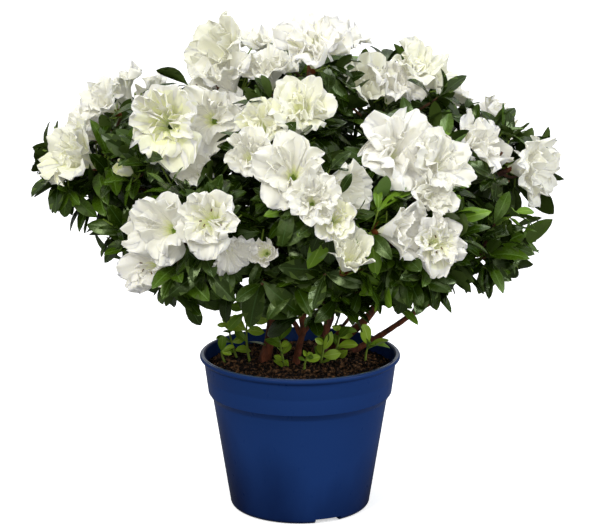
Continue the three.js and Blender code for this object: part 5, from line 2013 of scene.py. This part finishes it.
def stamens_of(bloom, rng):
    """Lines of a flower's stamens, and of the anthers across their tips."""
    up, level = across(bloom.facing)
    count = int(rng.integers(4, 8))
    shares = np.linspace(0, 1, 6)[:, None]
    filaments, anthers = [], []
    for k in range(count):
        radial = spoke(up, level, 2 * math.pi * k / count + rng.normal(0, 0.3))
        length = bloom.radius * rng.uniform(0.62, 0.95)
        lean = rng.uniform(0.15, 0.5)
        line = bloom.neck + bloom.facing * length * shares
        filaments.append(line + radial * (1.0 + length * lean * shares**1.6))
        along = unit(radial + bloom.facing * 0.3)
        anthers.append(filaments[-1][-1] + along * np.linspace(-ANTHER_HALF, ANTHER_HALF, 4)[:, None])
    return filaments, anthers


stamen_heap = Heap()
stamen_rng = chance("stamens")
for bloom in every_bloom:
    if bloom.open < STAMENS_FROM or stamen_rng.uniform() < WITHOUT_STAMENS:
        continue
    filaments, anthers = stamens_of(bloom, stamen_rng)
    add_paths(stamen_heap, filaments, *FILAMENT)
    add_paths(stamen_heap, anthers, *ANTHER_TUBE)
stamens = stamen_heap.build("stamens", [STAMEN, ANTHER])
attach(stamens, "root")

# %% [markdown]
# ## Young shoots at the foot
#
# A few fresh shoots stand in the peat below the crown, with round bright leaves, lightened further
# as painted light against the crown's shade. They are grown with the same helpers as the rest, only
# from stalks of their own.

# %% Basal shoots
BASAL_SHOOTS = {  # foot, lean, height, whorls of leaves and length of a leaf
    "left": ([-44, 16], [-6, -5], 27, 4, 13),
    "front": ([-10, -10], [-4, -2], 21, 5, 12),
    "middle": ([14, -2], [3, 0], 17, 4, 12),
    "right": ([46, 9], [2, -3], 14, 2, 15),
}
MORE_SHOOTS = [  # smaller ones between them
    ([-35, 8], [-2, -5], 34, 3, 17),
    ([3, -17], [2, -3], 12, 2, 10),
    ([24, 5], [5, -2], 26, 4, 12),
    ([-52, 6], [-3, -3], 10, 1, 11),
]
TO_THE_LIGHT = np.array([0, -0.75, 0.55])  # young leaves turn their faces this way
BASAL_POINTS = 9  # of a shoot's line
FRESH_SHARE = 0.6  # of their leaves


def basal_shoot(foot, lean, height, whorls, leaf, rng):
    """The line of a young shoot and its leaves."""
    root = np.array([*foot, peat_height(*foot) - 1.5])
    top = root + [lean[0], lean[1], height]
    line = twig_path(root, top, np.array([lean[1], -lean[0], 0]) * 0.25, BASAL_POINTS)
    heading = unit(line[-1] - line[-2])
    up, level = across(heading)
    specs = []
    for k in range(whorls):
        centre = line[round((BASAL_POINTS - 1) * (1 - 0.25 * (whorls - 1 - k)))]
        count = 3 if k == whorls - 1 else 2
        start = rng.uniform(0, 2 * math.pi)
        for j in range(count):
            radial = spoke(up, level, start + 2 * math.pi * j / count + rng.normal(0, 0.5))
            tilt = math.radians(rng.uniform(20, 90))
            direction = heading * math.cos(tilt) + radial * math.sin(tilt)
            size = leaf * rng.uniform(0.6, 1.3)
            kind = "fresh" if rng.uniform() < FRESH_SHARE else "young"
            face = square_to(TO_THE_LIGHT + rng.normal(0, 0.35, 3), direction)
            specs.append((centre, direction, face, size, rng.uniform(0.42, 0.58), kind))
    return line, specs


basal_heap = Heap()
basal_rng = chance("basal shoots")
basal_specs, basal_lines = [], []
for plan in [*BASAL_SHOOTS.values(), *MORE_SHOOTS]:
    line, specs = basal_shoot(*plan, basal_rng)
    basal_lines.append(line)
    basal_specs += specs
bend_leaves(basal_heap, basal_specs, basal_rng)
add_paths(basal_heap, basal_lines, (1.0, 0.6), 8, len(LEAF_MATERIALS))
basal = basal_heap.build("basal_shoots", [*LEAF_MATERIALS, GREEN_WOOD])
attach(basal, "root")
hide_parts(*[f"basal_shoot_{name}" for name in BASAL_SHOOTS])

# %% [markdown]
# ## The floor
#
# A wide pale plane that reaches past the edge of the view, so that no horizon shows. It belongs to
# the stage and not to the plant.

# %% The floor, the size and the end
FLOOR_EDGE = 40.0  # m from the middle
floor_mesh = bpy.data.meshes.new("floor")
corners = [(x * FLOOR_EDGE, y * FLOOR_EDGE, 0) for x, y in ((-1, -1), (1, -1), (1, 1), (-1, 1))]
floor_mesh.from_pydata(corners, [], [(0, 1, 2, 3)])
floor_mesh.materials.append(FLOOR)
floor = bpy.data.objects.new("floor", floor_mesh)
bpy.context.scene.collection.objects.link(floor)
floor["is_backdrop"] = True

size = {"cad": [list(c) for c in CAD_BOX], "visual": [list(c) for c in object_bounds()]}
print("visual box in mm:", [[round(x / MM, 1) for x in c] for c in size["visual"]])
